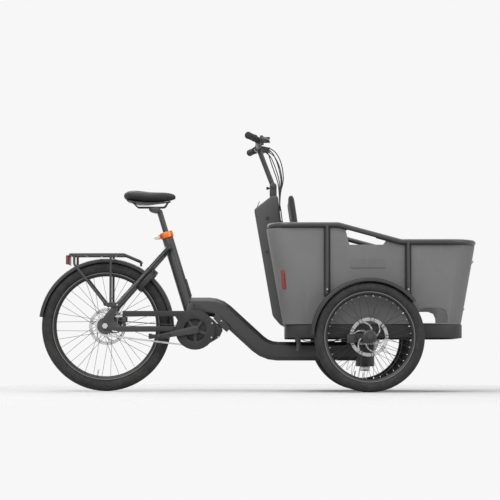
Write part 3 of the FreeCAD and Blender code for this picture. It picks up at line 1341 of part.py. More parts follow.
def cargo_box():
    """Moulded tub: leaning walls, round corners, a channel for the column, hand and floor openings."""
    low, high = S.tray_top, S.tray_top + S.box_tall
    outer = formed("box_outer", between(box_outline(low, 0), box_outline(high, 0)))
    floor = low + S.box_wall
    inner = formed("box_inner",
                   between(box_outline(floor, S.box_wall), box_outline(high + S.overrun, S.box_wall)))
    shell = cut("box_shell",
                cut("box_outer_channel", outer, column_channel("column_channel", S.column_gap)),
                cut("box_inner_channel", inner, column_channel("column_wall", S.column_gap + S.box_wall)))
    side = plate("box_side", box_side_outline(), S.box_foot_half * 4)
    stepped = doc.addObject("Part::Common", "box_stepped")
    stepped.Base = shell
    stepped.Tool = side
    corner, round_share = S.arch_corner, 0.3
    cheek = corner * round_share
    arch = plate("arch_space", [
        (front_x + S.arch_start, floor), (front_x + S.arch_start, S.arch_top - corner),
        (front_x + S.arch_start + cheek, S.arch_top - cheek), (front_x + S.arch_start + corner, S.arch_top),
        (front_x + S.arch_end - corner, S.arch_top), (front_x + S.arch_end - cheek, S.arch_top - cheek),
        (front_x + S.arch_end, S.arch_top - corner), (front_x + S.arch_end, floor),
    ], S.box_foot_half * 4)
    node("cargo_box", cut("cargo_box", stepped, arch))


def base_tray():
    """Shallow tray under the box: a floor and a skirt, open below, notched for the axle beam."""
    inset = S.tray_inset
    rear, front = front_x + S.box_rear_foot + S.tray_rear_lip / 4, front_x + S.box_front_foot + inset
    half = S.box_foot_half - inset
    wall = S.tray_wall
    tall = S.tray_top - S.running_gap - S.tray_foot

    def slab(name, gap, foot, rise):
        low, high = [rounded_outline(rear + gap, front - gap, half - gap, S.box_rear_corner - gap,
                                     S.box_front_corner - gap, height) for height in (foot, foot + rise)]
        return formed(name, between(low, high))
    outer = slab("tray_outer", 0, S.tray_foot, tall)
    inner = slab("tray_inner", wall, S.tray_foot - S.overrun, tall + S.overrun - wall)
    notch_tall = front_z + S.beam_half + S.rail_gap - S.tray_foot + S.overrun
    notch = block("beam_notch", ((S.beam_half + S.rail_gap) * 2, S.box_foot_half * 3, notch_tall),
                  (front_x, 0, S.tray_foot - S.overrun + notch_tall / 2))
    node("base_tray", cut("base_tray", outer, inner, notch))


def chassis():
    """Axle beam with stub axles, two long rails and cross members; the rear one carries the stop pegs."""
    beam = block("axle_beam", (S.beam_half * 2, S.beam_end * 2, S.beam_half * 2), (front_x, 0, front_z))
    hub_out = S.track / 2 + S.front_hub_outer
    long = hub_out + S.seat_gap + S.nut_thick
    axle = rod("stub_axles", S.front_axle_radius, long * 2, (front_x, -long, front_z), ACROSS)
    nuts = [hex_nut(f"wheel_nut_{n}", S.nut_radius, S.nut_thick, (front_x, y, front_z), ACROSS)
            for n, y in enumerate((-long, long - S.nut_thick))]
    low = front_z + S.beam_half
    tall = S.tray_top - S.running_gap * 2 - S.tray_wall - low
    rear, front = front_x + S.box_rear_foot + S.chassis_margin, front_x + S.box_front_foot - S.chassis_margin
    middle, height = (rear + front) / 2, low + tall / 2
    rails = [block(f"chassis_rail_{n}", (front - rear, S.rail_wide, tall),
                   (middle, S.rail_half_gauge * way, height))
             for n, way in enumerate((-1, 1))]
    crosses = [block("front_cross", (S.rail_wide, S.rail_half_gauge * 2, tall),
                     (front - S.rail_wide / 2, 0, height)),
               block("peg_cross", (S.rail_wide, (S.peg_half_gauge + S.peg_radius) * 2, tall),
                     (front_x + S.peg_ahead, 0, height))]
    pegs = [bar(f"stop_peg_{n}", S.peg_radius, low + tall / 2 - S.peg_foot,
                (front_x + S.peg_ahead, S.peg_half_gauge * way, S.peg_foot)) for n,
                way in enumerate((-1, 1))]
    node("chassis_frame", fused("chassis_frame", beam, axle, *nuts, *rails, *crosses, *pegs))

    foot = S.head_foot - S.seat_gap
    top = front_z - S.beam_half - S.running_gap
    pin = rod("kingpin_shaft", S.kingpin_radius, top - foot + S.kingpin_nut_tall,
              (front_x, 0, foot - S.kingpin_nut_tall))
    flange_foot = S.head_top + S.seat_gap
    flange = prism("kingpin_flange", HEAD_SIDES, S.kingpin_flange_radius, top - flange_foot,
                   (front_x, 0, flange_foot), None)
    nut = hex_nut("kingpin_nut", S.kingpin_nut_radius, S.kingpin_nut_tall,
                  (front_x, 0, foot - S.kingpin_nut_tall))
    node("kingpin", fused("kingpin", pin, flange, nut))


def rail_route():
    half = S.rail_half
    rear, front = front_x + S.rail_rear_ahead, front_x + S.rail_front_ahead
    high, low = S.rail_rear_height, S.rail_front_height
    side = [
        (rear, -S.column_half - S.seat_gap, high), (rear, -half, high),
        (front_x + S.rail_drop_start, -half, high),
        (front_x + S.rail_drop_end, -half, low), (front, -half, low),
    ]
    points = side + [(x, -y, z) for x, y, z in reversed(side)]
    bends = [S.box_rear_corner, S.rail_bend, S.rail_bend, S.box_front_corner]
    return points, bends + list(reversed(bends))


def top_rail():
    """Tube rail round the box's mouth, and the four struts that hold it and the mudguards."""
    points, bends = rail_route()
    node("top_rail", bent_rod("top_rail", points, S.rail_radius, bends))
    struts = []
    for name, ahead, high in (("rear", S.strut_rear_ahead, S.rail_rear_height),
                              ("front", S.strut_front_ahead, S.rail_front_height)):
        x, y = front_x + ahead, -strut_half()
        tube = bar(f"{name}_strut_tube", S.strut_radius, high - S.strut_foot - S.strut_pad_tall / 2,
                   (x, y, S.strut_foot + S.strut_pad_tall / 2))
        tab = block(f"{name}_strut_tab", (S.strut_radius * 2, S.strut_pad_thick, S.strut_pad_tall),
                    (x, y, S.strut_foot))
        wall = S.box_foot_half + S.box_side_lean * ((S.strut_foot - S.tray_top) / S.box_tall)
        boss = bar(f"{name}_strut_boss", S.strut_boss_radius, strut_half() - wall - S.seat_gap,
                   (x, y, S.strut_foot),
                   ACROSS)
        whole = fused(f"{name}_strut_whole", tube, tab, boss)
        struts.append(cut(f"{name}_strut", whole, nodes["top_rail"]))
    node("rail_struts", group("rail_struts", *struts, *[mirrored(s) for s in struts]))


def strut_half():
    return S.rail_half + S.strut_out / 2


def front_mudguards():
    """Mudguards over the front wheels, hung from the struts' feet by two tabs each."""
    y = S.track / -2
    shell = mudguard("front_guard_shell", (front_x, y, front_z), S.front_guard_radius, S.front_guard_half,
                     S.front_guard_skirt, S.front_guard_begin, S.front_guard_end)
    tabs = []
    tab_y = -strut_half() - S.strut_pad_thick / 2 - S.running_gap
    reach = S.track / 2 - S.front_guard_half + S.guard_sheet + tab_y
    for name, ahead in (("rear", S.strut_rear_ahead), ("front", S.strut_front_ahead)):
        x = front_x + ahead
        offset = x - front_x
        edge = root(S.front_guard_radius * S.front_guard_radius - offset * offset) + front_z
        drop = S.strut_foot + S.strut_pad_tall / 2 - edge + S.front_guard_skirt
        tabs.append(block(f"{name}_guard_tab", (S.strut_radius * 2, S.guard_sheet, drop),
                          (x, tab_y - S.guard_sheet / 2, edge - S.front_guard_skirt + drop / 2)))
        tabs.append(block(f"{name}_guard_foot",
                          (S.strut_radius * 2, reach + S.guard_sheet * 3, S.guard_sheet),
                          (x, tab_y - (reach + S.guard_sheet * 3) / 2, edge - S.front_guard_skirt)))
    node("front_mudguards", pair("front_mudguards", fused("front_guard", shell, *tabs)))


def front_brakes():
    """Front calipers behind the hubs, each on an arm that clamps the stub axle, and their hoses."""
    rotor_y = -(S.track / 2 - S.front_hub_inner - S.rotor_thick / 2)
    x, z = front_x - S.caliper_reach, front_z - S.nut_radius / 2
    lengths = (S.caliper_long, S.caliper_wide, S.caliper_tall)
    whole, slot = caliper("front_caliper", (x, rotor_y, z), lengths, front_x, -1)
    arm_y = rotor_y + S.caliper_slot / 2 + S.bracket_thick
    eye, low_share, high_share, bend_share = S.front_axle_radius * 2, 1.2, 0.6, 0.8
    arm = plate("caliper_arm", [
        (-S.caliper_reach, -eye * low_share), (0, -eye), (eye, -eye / 2), (eye, eye / 2), (0, eye),
        (-S.caliper_reach, eye * high_share),
    ], S.bracket_thick, (front_x, arm_y, front_z), holes=[((0, 0), S.front_axle_radius + S.running_gap)])
    unit = fused("front_caliper", cut("front_caliper_open", whole, slot), arm)
    node("front_calipers", pair("front_calipers", unit))
    skirt = -(S.box_foot_half - S.tray_inset) - S.hose_radius - S.seat_gap
    low = S.tray_foot - S.hose_radius * 8
    back = x - S.caliper_long / 2 - S.seat_gap
    hose = cord("front_hose", [
        (front_x + S.peg_ahead - S.rail_wide, skirt, S.tray_foot + S.hose_radius * 4),
        (front_x + S.peg_ahead + S.rail_wide, skirt - S.hose_radius, low + S.hose_radius * 2),
        (front_x + S.peg_ahead + S.rail_wide * 4, skirt - S.hose_radius * 3, low),
        (back - S.rail_wide * 2, rotor_y + S.hose_radius * 2, low + S.hose_radius * 2),
        (back - S.rail_wide * bend_share, rotor_y, z), (back, rotor_y, z),
    ], S.hose_radius, S.rail_wide * bend_share)
    node("front_hoses", pair("front_hoses", hose))


KNEE_SHARE = 1.3  # how far the knee is drawn in, as a share of the inset


def column_outline(inset):
    """The column's side view, drawn in by an inset for its hollow."""
    foot = S.tray_top + S.seat_gap
    lean_share, rise_share = 1.02, 0.4
    return [
        (front_x + S.column_shoulder_ahead + inset * lean_share, S.column_shoulder_height - inset),
        (front_x + S.column_top_ahead + inset * rise_share, S.column_top_height - inset * lean_share),
        (front_x + S.column_front_ahead - inset * lean_share, S.column_top_height - inset * lean_share),
        (front_x + S.column_foot_ahead - inset * lean_share, foot + inset),
        (front_x + S.column_heel_ahead + inset, foot + inset),
        (front_x + S.column_knee_ahead + inset * KNEE_SHARE, S.column_knee_height),
    ]


def mast_line():
    """The mast's foot on the tray and its top, parallel to the column's front face."""
    tall = S.mast_top_height - S.tray_top
    slope = (S.column_foot_ahead - S.column_front_ahead) / (S.column_top_height - S.tray_top)
    return front_x + S.mast_top_ahead + slope * tall, front_x + S.mast_top_ahead


def column():
    """Slim column behind the box: a hollow cover over the battery and the handlebar mast."""
    outer = plate("column_outer", column_outline(0), S.column_half * 2)
    inner = plate("column_inner", column_outline(S.column_wall), (S.column_half - S.column_wall) * 2)
    foot_x, top_x = mast_line()
    lift_share, round_share, knob_share = 0.15, 0.87, 0.75
    foot_z = S.tray_top + S.mast_radius * lift_share
    slope = (foot_x - top_x) / (S.mast_top_height - S.tray_top)
    space = straight_rod("mast_space", (foot_x + slope * S.overrun, 0, S.tray_top - S.overrun),
                         (top_x - slope * S.overrun, 0, S.mast_top_height + S.overrun),
                         S.mast_radius + S.seat_gap)
    node("column_cover", cut("column_cover", outer, inner, space))

    def rear_face(height):
        tall = S.column_shoulder_height - S.column_knee_height
        return S.column_knee_ahead + (S.column_shoulder_ahead - S.column_knee_ahead) * (
            (height - S.column_knee_height) / tall) + S.column_wall * KNEE_SHARE + S.seat_gap
    low, high = S.column_knee_height + S.battery_rise, S.column_shoulder_height - S.battery_drop
    node("battery", plate("battery", [
        (front_x + rear_face(low), low), (front_x + rear_face(low) + S.battery_deep, low),
        (front_x + rear_face(high) + S.battery_deep, high), (front_x + rear_face(high), high),
    ], S.battery_half * 2))

    x, z = front_x + S.pivot_ahead, S.pivot_height
    tube = straight_rod("mast_tube", (foot_x - slope * (foot_z - S.tray_top), 0, foot_z),
                        (top_x, 0, S.mast_top_height),
                        S.mast_radius)
    half = S.pivot_barrel_half + S.pivot_gap
    cheek = S.pivot_barrel_radius
    low = S.column_top_height + S.rail_gap
    ears = [plate(f"pivot_ear_{n}", [
        (-cheek, low - z), (cheek, low - z), (cheek, 0),
        (cheek / 2, cheek * round_share), (-cheek / 2, cheek * round_share), (-cheek, 0),
    ], S.pivot_ear, (x, (half + S.pivot_ear / 2) * way, z)) for n, way in enumerate((-1, 1))]
    saddle_low = z - S.pivot_barrel_radius - S.pivot_gap
    base_tall = saddle_low - low
    base = block("pivot_base", (cheek * 2, (half + S.pivot_ear) * 2, base_tall),
                 (x, 0, saddle_low - base_tall / 2))
    pin = rod("pivot_pin", S.pivot_pin_radius, (half + S.pivot_ear) * 2, (x, -half - S.pivot_ear, z),
              ACROSS)
    knob = bar("pivot_knob", S.nut_radius * knob_share, S.nut_thick,
               (x, -half - S.pivot_ear - S.nut_thick, z), ACROSS)
    node("mast", fused("mast", tube, *ears, base, pin, knob))


def cushion(name, length, half, tall, at, turn=None):
    """A padded block: sides drawn in between its corners, and a crowned top."""
    length, half, tall, pull = [float(s) for s in (length, half, tall, S.cushion_pull)]
    wires = []
    ring_shares = ((0.0, 0.95), (0.35, 1.0), (0.72, 0.97), (1.0, 0.76))
    for up_share, grow_share in ring_shares:
        inset = tall * (1 - grow_share)
        x, y, z = length / 2 - inset, half - inset, tall * up_share
        corners = [Vector(-x, -y, z), Vector(x, -y, z), Vector(x, y, z), Vector(-x, y, z)]
        middles = [Vector(0, pull - y, z), Vector(x - pull, 0, z), Vector(0, y - pull, z),
                   Vector(pull - x, 0, z)]
        wires.append(Part.Wire([Part.Arc(a, m, b).toShape()
                                for a, m, b in zip(corners, middles, corners[1:] + corners[:1])]))
    return node(name, put(formed(name, Part.makeLoft(wires, True, True)), at, turn))


def bench():
    """A board across the box with a seat cushion and a taller back cushion standing on it."""
    middle = front_x + (S.board_rear + S.board_front) / 2
    node("bench_board", block("bench_board",
                              (S.board_front - S.board_rear, S.board_half * 2, S.board_thick),
                              (middle, 0, S.board_height + S.board_thick / 2)))
    top = S.board_height + S.board_thick + S.seat_gap
    long = S.board_front - S.seat_cushion_rear
    cushion("bench_seat", long, S.seat_cushion_half, S.seat_cushion_tall,
            (front_x + S.board_front - long / 2, 0, top))
    lean = float(S.back_lean)
    turn = Rotation(Vector(0, 1, 0), 90 - lean)
    sink_share = 0.045
    rise = S.back_tall / 2 * cosine(S.back_lean) - S.back_thick * sink_share
    x = front_x + S.back_ahead - S.back_tall / 2 * sine(S.back_lean)
    cushion("bench_back", S.back_tall, S.back_half, S.back_thick, (x, 0, top + rise), turn)


def lamps():
    """Red corner markers, the headlamp and the front reflector, each shaped to the wall it sits on."""
    low, high = S.tray_top, S.tray_top + S.box_tall
    outer = formed("box_space", between(box_outline(low, -S.seat_gap), box_outline(high, -S.seat_gap)))
    share = (S.marker_height - S.tray_top) / S.box_tall
    corner = S.box_rear_corner
    middle_x = front_x + S.box_rear_foot - S.box_rear_lean * share + corner
    middle_y = S.box_foot_half + S.box_side_lean * share - corner
    angle = math.radians(180 + float(S.marker_turn))
    x, y = middle_x + corner * math.cos(angle), -middle_y + corner * math.sin(angle)
    turn = Rotation(Vector(0, 0, 1), math.degrees(angle)).multiply(Rotation(Vector(0, 1, 0), 8))
    strip = block("marker_block", (S.marker_deep, S.marker_wide, S.marker_tall),
                  (x, y, S.marker_height), turn)
    node("marker_lights", pair("marker_lights", cut("marker", strip, outer)))

    def on_front(name, height, deep, wide, tall):
        share = (height - S.tray_top) / S.box_tall
        x = front_x + S.box_front_foot + S.box_front_lean * share
        taper_share, chin_share, brow_share, top_share = 0.55, 0.1, 0.35, 0.4
        wedge = plate(f"{name}_form", [
            (-deep, -tall / 2), (deep * taper_share, -tall / 2), (deep, tall * chin_share),
            (deep, tall * brow_share),
            (deep * top_share, tall / 2), (-deep, tall / 2),
        ], wide, (x, 0, height))
        return cut(name, wedge, outer)
    lamp = on_front("headlamp", S.rail_front_height - S.lamp_drop, S.lamp_deep, S.lamp_wide, S.lamp_tall)
    reflector = on_front("front_reflector", S.reflector_height, S.reflector_deep, S.reflector_wide,
                         S.reflector_tall)
    node("front_lamps", group("front_lamps", lamp, reflector))


# Handlebar

def bar_points():
    """The bar's right half, from its middle to its end."""
    return [
        (front_x + S.bar_ahead, 0, S.bar_height), (front_x + S.bar_ahead, -S.bar_flat_half, S.bar_height),
        (front_x + S.bar_knee_ahead, -S.bar_knee_half, S.bar_knee_height),
        (front_x + S.bar_elbow_ahead, -S.bar_elbow_half, S.bar_end_height),
        (front_x + S.bar_end_ahead, -S.bar_end_half, S.bar_end_height),
    ]


def round_bar():
    """The corner radius of a flat-sided hole that clears the bar all round."""
    return (S.bar_radius + S.running_gap) / cosine(180 / GRIP_SIDES)


def handlebar():
    """Riser on the mast's pivot with the swept bar clamped in its head, and the grips."""
    x, z = front_x + S.pivot_ahead, S.pivot_height
    barrel = prism("riser_barrel", GRIP_SIDES, S.pivot_barrel_radius, S.pivot_barrel_half * 2,
                   (x, -S.pivot_barrel_half, z))
    eye = rod("riser_eye", S.pivot_pin_radius + S.running_gap, S.pivot_barrel_half * 4,
              (x, S.pivot_barrel_half * -2, z), ACROSS)
    riser = straight_rod("riser_tube", (x, 0, z), (front_x + S.bar_ahead, 0, S.bar_height), S.riser_radius)
    head = prism("bar_clamp", GRIP_SIDES, S.bar_clamp_radius, S.bar_clamp_half * 2,
                 (front_x + S.bar_ahead, -S.bar_clamp_half, S.bar_height))
    right = bar_points()
    points = [(px, -y, pz) for px, y, pz in reversed(right[1:])] + right[1:]
    bar = bent_rod("bar_tube", points, S.bar_radius, S.bar_bend)
    node("handlebar", cut("handlebar", fused("handlebar_whole", barrel, riser, head, bar), eye))

    elbow, end = point(*right[-2]), point(*right[-1])
    out = (end - elbow).normalize()
    start = end - out * (float(S.grip_long) - float(S.tube_wall))
    turn = Rotation(Vector(0, 0, 1), out)
    lip_share = 1.12
    sleeve = prism("grip_sleeve", GRIP_SIDES, S.grip_radius, S.grip_long, start, turn)
    lip = prism("grip_lip", GRIP_SIDES, S.grip_radius * lip_share, S.tube_wall, start, turn)
    inside = prism("grip_inside", GRIP_SIDES, round_bar(), S.grip_long - S.tube_wall + S.running_gap,
                   start, turn)
    grip = cut("right_grip", fused("grip_whole", sleeve, lip), inside)
    node("grips", pair("grips", grip))


def lever_pivot():
    """The brake lever's upright pivot, ahead of the bar on the near side."""
    knee, elbow = point(*bar_points()[-3]), point(*bar_points()[-2])
    out = (elbow - knee).normalize()
    on_bar = knee + out * ((elbow - knee).Length / 2)
    forward = Vector(0, 0, 1).cross(out).normalize()
    return on_bar, out, forward, on_bar + forward * float(S.perch_reach)


def controls():
    """Lever perches round the bar, the small display, and the two brake levers."""
    on_bar, out, forward, pivot = lever_pivot()
    around_bar, start = Rotation(Vector(0, 0, 1), out), on_bar - out * (float(S.perch_wide) / 2)
    band = cut("perch_band",
               prism("perch_outside", GRIP_SIDES, S.perch_radius, S.perch_wide, start, around_bar),
               prism("perch_inside", GRIP_SIDES, round_bar(), S.perch_wide, start, around_bar))
    frame = Rotation(forward, out, Vector(0, 0, 1), "ZXY")
    reach = S.perch_reach - S.perch_radius + S.tube_wall
    neck = block("perch_neck", (reach + S.blade_pin_radius * 2, S.perch_wide, S.lever_blade_tall * 2),
                 on_bar + forward * (float(S.perch_radius - S.tube_wall)
                                     + float(reach + S.blade_pin_radius * 2) / 2), frame)
    slot_long, slot_share, display_share, eye_share = S.perch_wide, 0.55, 0.3, 1.9
    slot = block("perch_slot", (slot_long, S.perch_wide * 2, S.lever_blade_tall + S.lever_gap * 2),
                 pivot - forward * (float(slot_long) / 2 - float(S.perch_wide) * slot_share), frame)
    pin = rod("blade_pin", S.blade_pin_radius, S.lever_blade_tall * 2,
              pivot - Vector(0, 0, float(S.lever_blade_tall)))
    perch = fused("right_perch", band, cut("perch_neck_open", neck, slot), pin)
    display = block("display", (S.display_tall, S.display_wide, S.display_thick),
                    (front_x + S.bar_ahead + S.bar_clamp_radius * display_share, 0,
                     S.bar_height + S.bar_clamp_radius + S.display_thick / 2 + S.running_gap * 2))
    node("handlebar_controls", group("handlebar_controls", perch, mirrored(perch), display))

    elbow, end = point(*bar_points()[-2]), point(*bar_points()[-1])
    along = (end - elbow).normalize()
    lay = Rotation(along, Vector(0, 0, 1), Vector(0, 0, 1).cross(along), "XZY")
    eye_radius = S.blade_pin_radius * eye_share
    hub = bar("blade_hub", eye_radius, S.lever_blade_tall,
              pivot - Vector(0, 0, float(S.lever_blade_tall) / 2))
    blade = block("blade_bar", (S.lever_blade_long, S.lever_blade_thick, S.lever_blade_tall),
                  pivot + along * (float(S.lever_blade_long) / 2), lay)
    knob = bar("blade_knob", S.lever_blade_thick, S.lever_blade_tall,
               pivot + along * float(S.lever_blade_long) - Vector(0, 0, float(S.lever_blade_tall) / 2))
    eye = rod("blade_eye", S.blade_pin_radius + S.running_gap, S.lever_blade_tall * 3,
              pivot - Vector(0, 0, float(S.lever_blade_tall) * 3 / 2))
    right = cut("right_lever", fused("blade_whole", hub, blade, knob), eye)
    node("right_lever", right)
    node("left_lever", mirrored(right))


# The hoses' routes, chosen by hand from the photograph: places ahead of the front axle and above the
# ground on the innermost and the outermost hose, and each hose's start, end and place between those two.
HOSE_INNER_ROUTE = ((-469, 1152), (-453, 1094), (-429, 1034), (-417, 996), (-412, 950))
HOSE_OUTER_ROUTE = ((-445, 1166), (-404, 1110), (-391, 1040), (-393, 1000), (-408, 950))
HOSE_ENDS = ((-78, -20, 1.0), (-70, -32, 0.62), (70, 32, 0.8), (78, 20, 0.36), (-62, -8, 0.06))
HOSE_LANDING = 886


def hose_route(top, low, bow):
    """One hose: out of the bar's front, bowed ahead of the riser and down to the column's front face."""
    sides = (top, (top + low) / 2, low, low, low)
    bowed = [(front_x + inner[0] + (outer[0] - inner[0]) * bow, y, inner[1] + (outer[1] - inner[1]) * bow)
             for inner, outer, y in zip(HOSE_INNER_ROUTE, HOSE_OUTER_ROUTE, sides)]
    start = (front_x + S.bar_ahead + S.bar_radius + S.hose_radius + S.seat_gap, top, S.bar_height)
    end = (front_x + column_front(HOSE_LANDING) + S.hose_radius + S.seat_gap, low, HOSE_LANDING)
    return [start, *bowed, end]


def control_hoses():
    """Five slim lines from the levers and the display to the front of the column."""
    hoses = [cord(f"control_hose_{number}", hose_route(*ends), S.hose_radius, S.hose_bend)
             for number, ends in enumerate(HOSE_ENDS)]
    node("control_hoses", group("control_hoses", *hoses))


def build():
    main_frame()
    chain_stays()
    seat_stays()
    motor()
    chain_guard()
    rear_axle()
    node("rear_mudguard",
         mudguard("rear_mudguard", (rear_x, 0, rear_z), S.rear_guard_radius, S.rear_guard_half,
                                   S.rear_guard_skirt, S.rear_guard_begin, S.rear_guard_end))
    rear_carrier()
    ring_lock()
    rear_brake()
    gear_cable()
    drive_chain()
    sprockets()
    cranks()
    pedals()
    seat_clamp()
    seat_post()
    saddle()
    wheel("rear", rear_x, 0, rear_z, 1, S.rear_tyre_radius, S.rear_tyre_width, S.rear_rim_radius,
          S.rear_rim_depth,
          S.rear_rim_width, S.rear_axle_radius, S.rear_hub_left, S.rear_hub_right, SPOKES, REAR_SPOKE_START)
    for prefix, side in (("right", -1), ("left", 1)):
        wheel(prefix, front_x, S.track / 2 * side, front_z, -side, S.front_tyre_radius, S.front_tyre_width,
              S.front_rim_radius, S.front_rim_depth, S.front_rim_width, S.front_axle_radius,
              S.front_hub_inner,
              S.front_hub_outer, SPOKES, FRONT_SPOKE_START)
    cargo_box()
    base_tray()
    chassis()
    top_rail()
    front_mudguards()
    front_brakes()
    column()
    bench()
    lamps()
    handlebar()
    controls()
    control_hoses()


def write_parts():
    doc.recompute()
    failed = [o.Name for o in doc.Objects if "Invalid" in o.State or "Error" in o.State]
    broken = [n for n, o in nodes.items()
              if o.Shape.isNull() or not o.Shape.isValid() or not o.Shape.Solids]
    if failed or broken:
        raise RuntimeError(f"failed features {failed}, broken solids {broken}")
    os.makedirs("parts", exist_ok=True)
    for name, thing in nodes.items():
        thing.Shape.exportStep(f"parts/{name}.step")
    print(len(nodes), "nodes")


build()
write_parts()
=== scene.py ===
import json
import math

import bmesh
import bpy
from mathutils import Matrix, Vector
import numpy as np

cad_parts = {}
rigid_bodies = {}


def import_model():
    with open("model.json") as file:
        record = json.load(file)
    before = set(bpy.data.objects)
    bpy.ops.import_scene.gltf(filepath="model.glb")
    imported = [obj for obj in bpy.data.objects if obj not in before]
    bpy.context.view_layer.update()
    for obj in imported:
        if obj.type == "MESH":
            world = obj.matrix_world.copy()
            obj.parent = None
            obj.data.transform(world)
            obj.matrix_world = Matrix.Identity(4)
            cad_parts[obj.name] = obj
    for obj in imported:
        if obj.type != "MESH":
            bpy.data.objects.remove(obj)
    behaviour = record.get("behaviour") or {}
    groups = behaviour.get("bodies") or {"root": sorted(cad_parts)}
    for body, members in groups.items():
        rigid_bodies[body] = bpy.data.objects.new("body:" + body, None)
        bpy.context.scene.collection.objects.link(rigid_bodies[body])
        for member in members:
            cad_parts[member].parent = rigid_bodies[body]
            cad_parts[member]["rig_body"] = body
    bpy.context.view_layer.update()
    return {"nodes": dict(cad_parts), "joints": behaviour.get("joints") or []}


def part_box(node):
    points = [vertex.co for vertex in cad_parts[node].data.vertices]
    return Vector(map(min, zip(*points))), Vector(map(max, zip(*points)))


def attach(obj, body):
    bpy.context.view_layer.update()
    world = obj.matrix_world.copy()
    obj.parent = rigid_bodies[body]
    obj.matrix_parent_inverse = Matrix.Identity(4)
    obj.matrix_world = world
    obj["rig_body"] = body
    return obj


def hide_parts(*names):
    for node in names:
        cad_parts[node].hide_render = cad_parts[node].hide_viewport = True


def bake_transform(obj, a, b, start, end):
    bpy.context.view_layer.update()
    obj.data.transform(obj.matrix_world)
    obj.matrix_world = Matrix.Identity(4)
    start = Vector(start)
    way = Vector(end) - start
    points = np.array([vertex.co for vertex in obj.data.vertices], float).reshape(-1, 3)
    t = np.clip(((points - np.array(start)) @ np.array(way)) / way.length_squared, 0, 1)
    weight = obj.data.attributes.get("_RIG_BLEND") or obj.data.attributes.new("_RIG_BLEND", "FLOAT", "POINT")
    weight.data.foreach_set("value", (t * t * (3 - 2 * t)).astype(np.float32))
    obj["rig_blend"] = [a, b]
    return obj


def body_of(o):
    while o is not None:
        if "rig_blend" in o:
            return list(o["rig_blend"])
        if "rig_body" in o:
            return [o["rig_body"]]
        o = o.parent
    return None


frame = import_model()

nodes = frame["nodes"]
hinges = {joint["name"]: joint for joint in frame["joints"]}
scene = bpy.context.scene
scene.view_settings.view_transform = "Standard"

MM = 0.001
ACROSS = Vector((0, 1, 0))
UP = Vector((0, 0, 1))


def pin(joint):
    return Vector(hinges[joint]["pos_m"])


rear_middle = pin("rear_wheel_spin")
right_middle = pin("right_wheel_spin")
left_middle = pin("left_wheel_spin")
crank_middle = pin("crank_spin")
tilt_middle = pin("handlebar_tilt")


def spot(ahead, across, high):
    """A place in millimetres ahead of the rear axle, to the left of the middle and above the ground."""
    return Vector((rear_middle.x + ahead * MM, across * MM, high * MM))


def side_view(*points):
    """Side-view places in metres, from millimetres ahead of the rear axle and above the ground."""
    return [(spot(ahead, 0, 0).x, high * MM) for ahead, high in points]


# Camera, floor and light

EYE = Vector((0.0674, -8.5, 0.1244))
SIGHT = Vector((-0.029, 0, 0.679))
LENS = 127


def studio():
    camera = bpy.data.cameras.new("side_camera")
    camera.lens = LENS
    stand = bpy.data.objects.new("side_camera", camera)
    stand.location = EYE
    stand.rotation_euler = (SIGHT - EYE).to_track_quat("-Z", "Y").to_euler()
    scene.collection.objects.link(stand)
    scene.camera = stand

    lamps = (
        ("key_light", (-2.2, -4.2, 4.6), 4.0, 235),
        ("fill_light", (4.2, -3.0, 2.6), 3.5, 95),
        ("top_light", (0.2, 0.6, 5.2), 5.0, 150),
        ("back_light", (-1.5, 4.6, 3.4), 4.0, 110),
    )
    for name, place, across, power in lamps:
        lamp = bpy.data.lights.new(name, "AREA")
        lamp.size = across
        lamp.energy = power
        holder = bpy.data.objects.new(name, lamp)
        holder.location = place
        holder.rotation_euler = (Vector((0, 0, 0.5)) - Vector(place)).to_track_quat("-Z", "Y").to_euler()
        scene.collection.objects.link(holder)

    world = bpy.data.worlds.new("studio_room")
    scene.world = world
    world.use_nodes = True
    tree = world.node_tree
    room = tree.nodes["Background"]
    path = tree.nodes.new("ShaderNodeLightPath")
    seen = tree.nodes.new("ShaderNodeMath")
    seen.operation = "MAXIMUM"
    tree.links.new(path.outputs["Is Camera Ray"], seen.inputs[0])
    mirrored = tree.nodes.new("ShaderNodeMath")
    mirrored.operation = "MAXIMUM"
    tree.links.new(path.outputs["Is Glossy Ray"], mirrored.inputs[0])
    tree.links.new(path.outputs["Is Transmission Ray"], mirrored.inputs[1])
    tree.links.new(mirrored.outputs[0], seen.inputs[1])
    level = tree.nodes.new("ShaderNodeMapRange")
    tree.links.new(seen.outputs[0], level.inputs["Value"])
    level.inputs["To Min"].default_value = 0.32
    level.inputs["To Max"].default_value = 0.93
    tree.links.new(level.outputs["Result"], room.inputs["Strength"])
    room.inputs["Color"].default_value = (1, 1, 1, 1)


# Finishes


class Wire:
    """A value on its way through a finish. Sums of wires add the nodes that work them out."""

    def __init__(self, finish, socket):
        self.finish = finish
        self.socket = socket

    def __add__(self, other):
        return self.finish.math("ADD", self, other)

    def __sub__(self, other):
        return self.finish.math("SUBTRACT", self, other)

    def __rsub__(self, other):
        return self.finish.math("SUBTRACT", other, self)

    def __mul__(self, other):
        return self.finish.math("MULTIPLY", self, other)

    def __pow__(self, other):
        return self.finish.math("POWER", self, other)

    __radd__ = __add__
    __rmul__ = __mul__


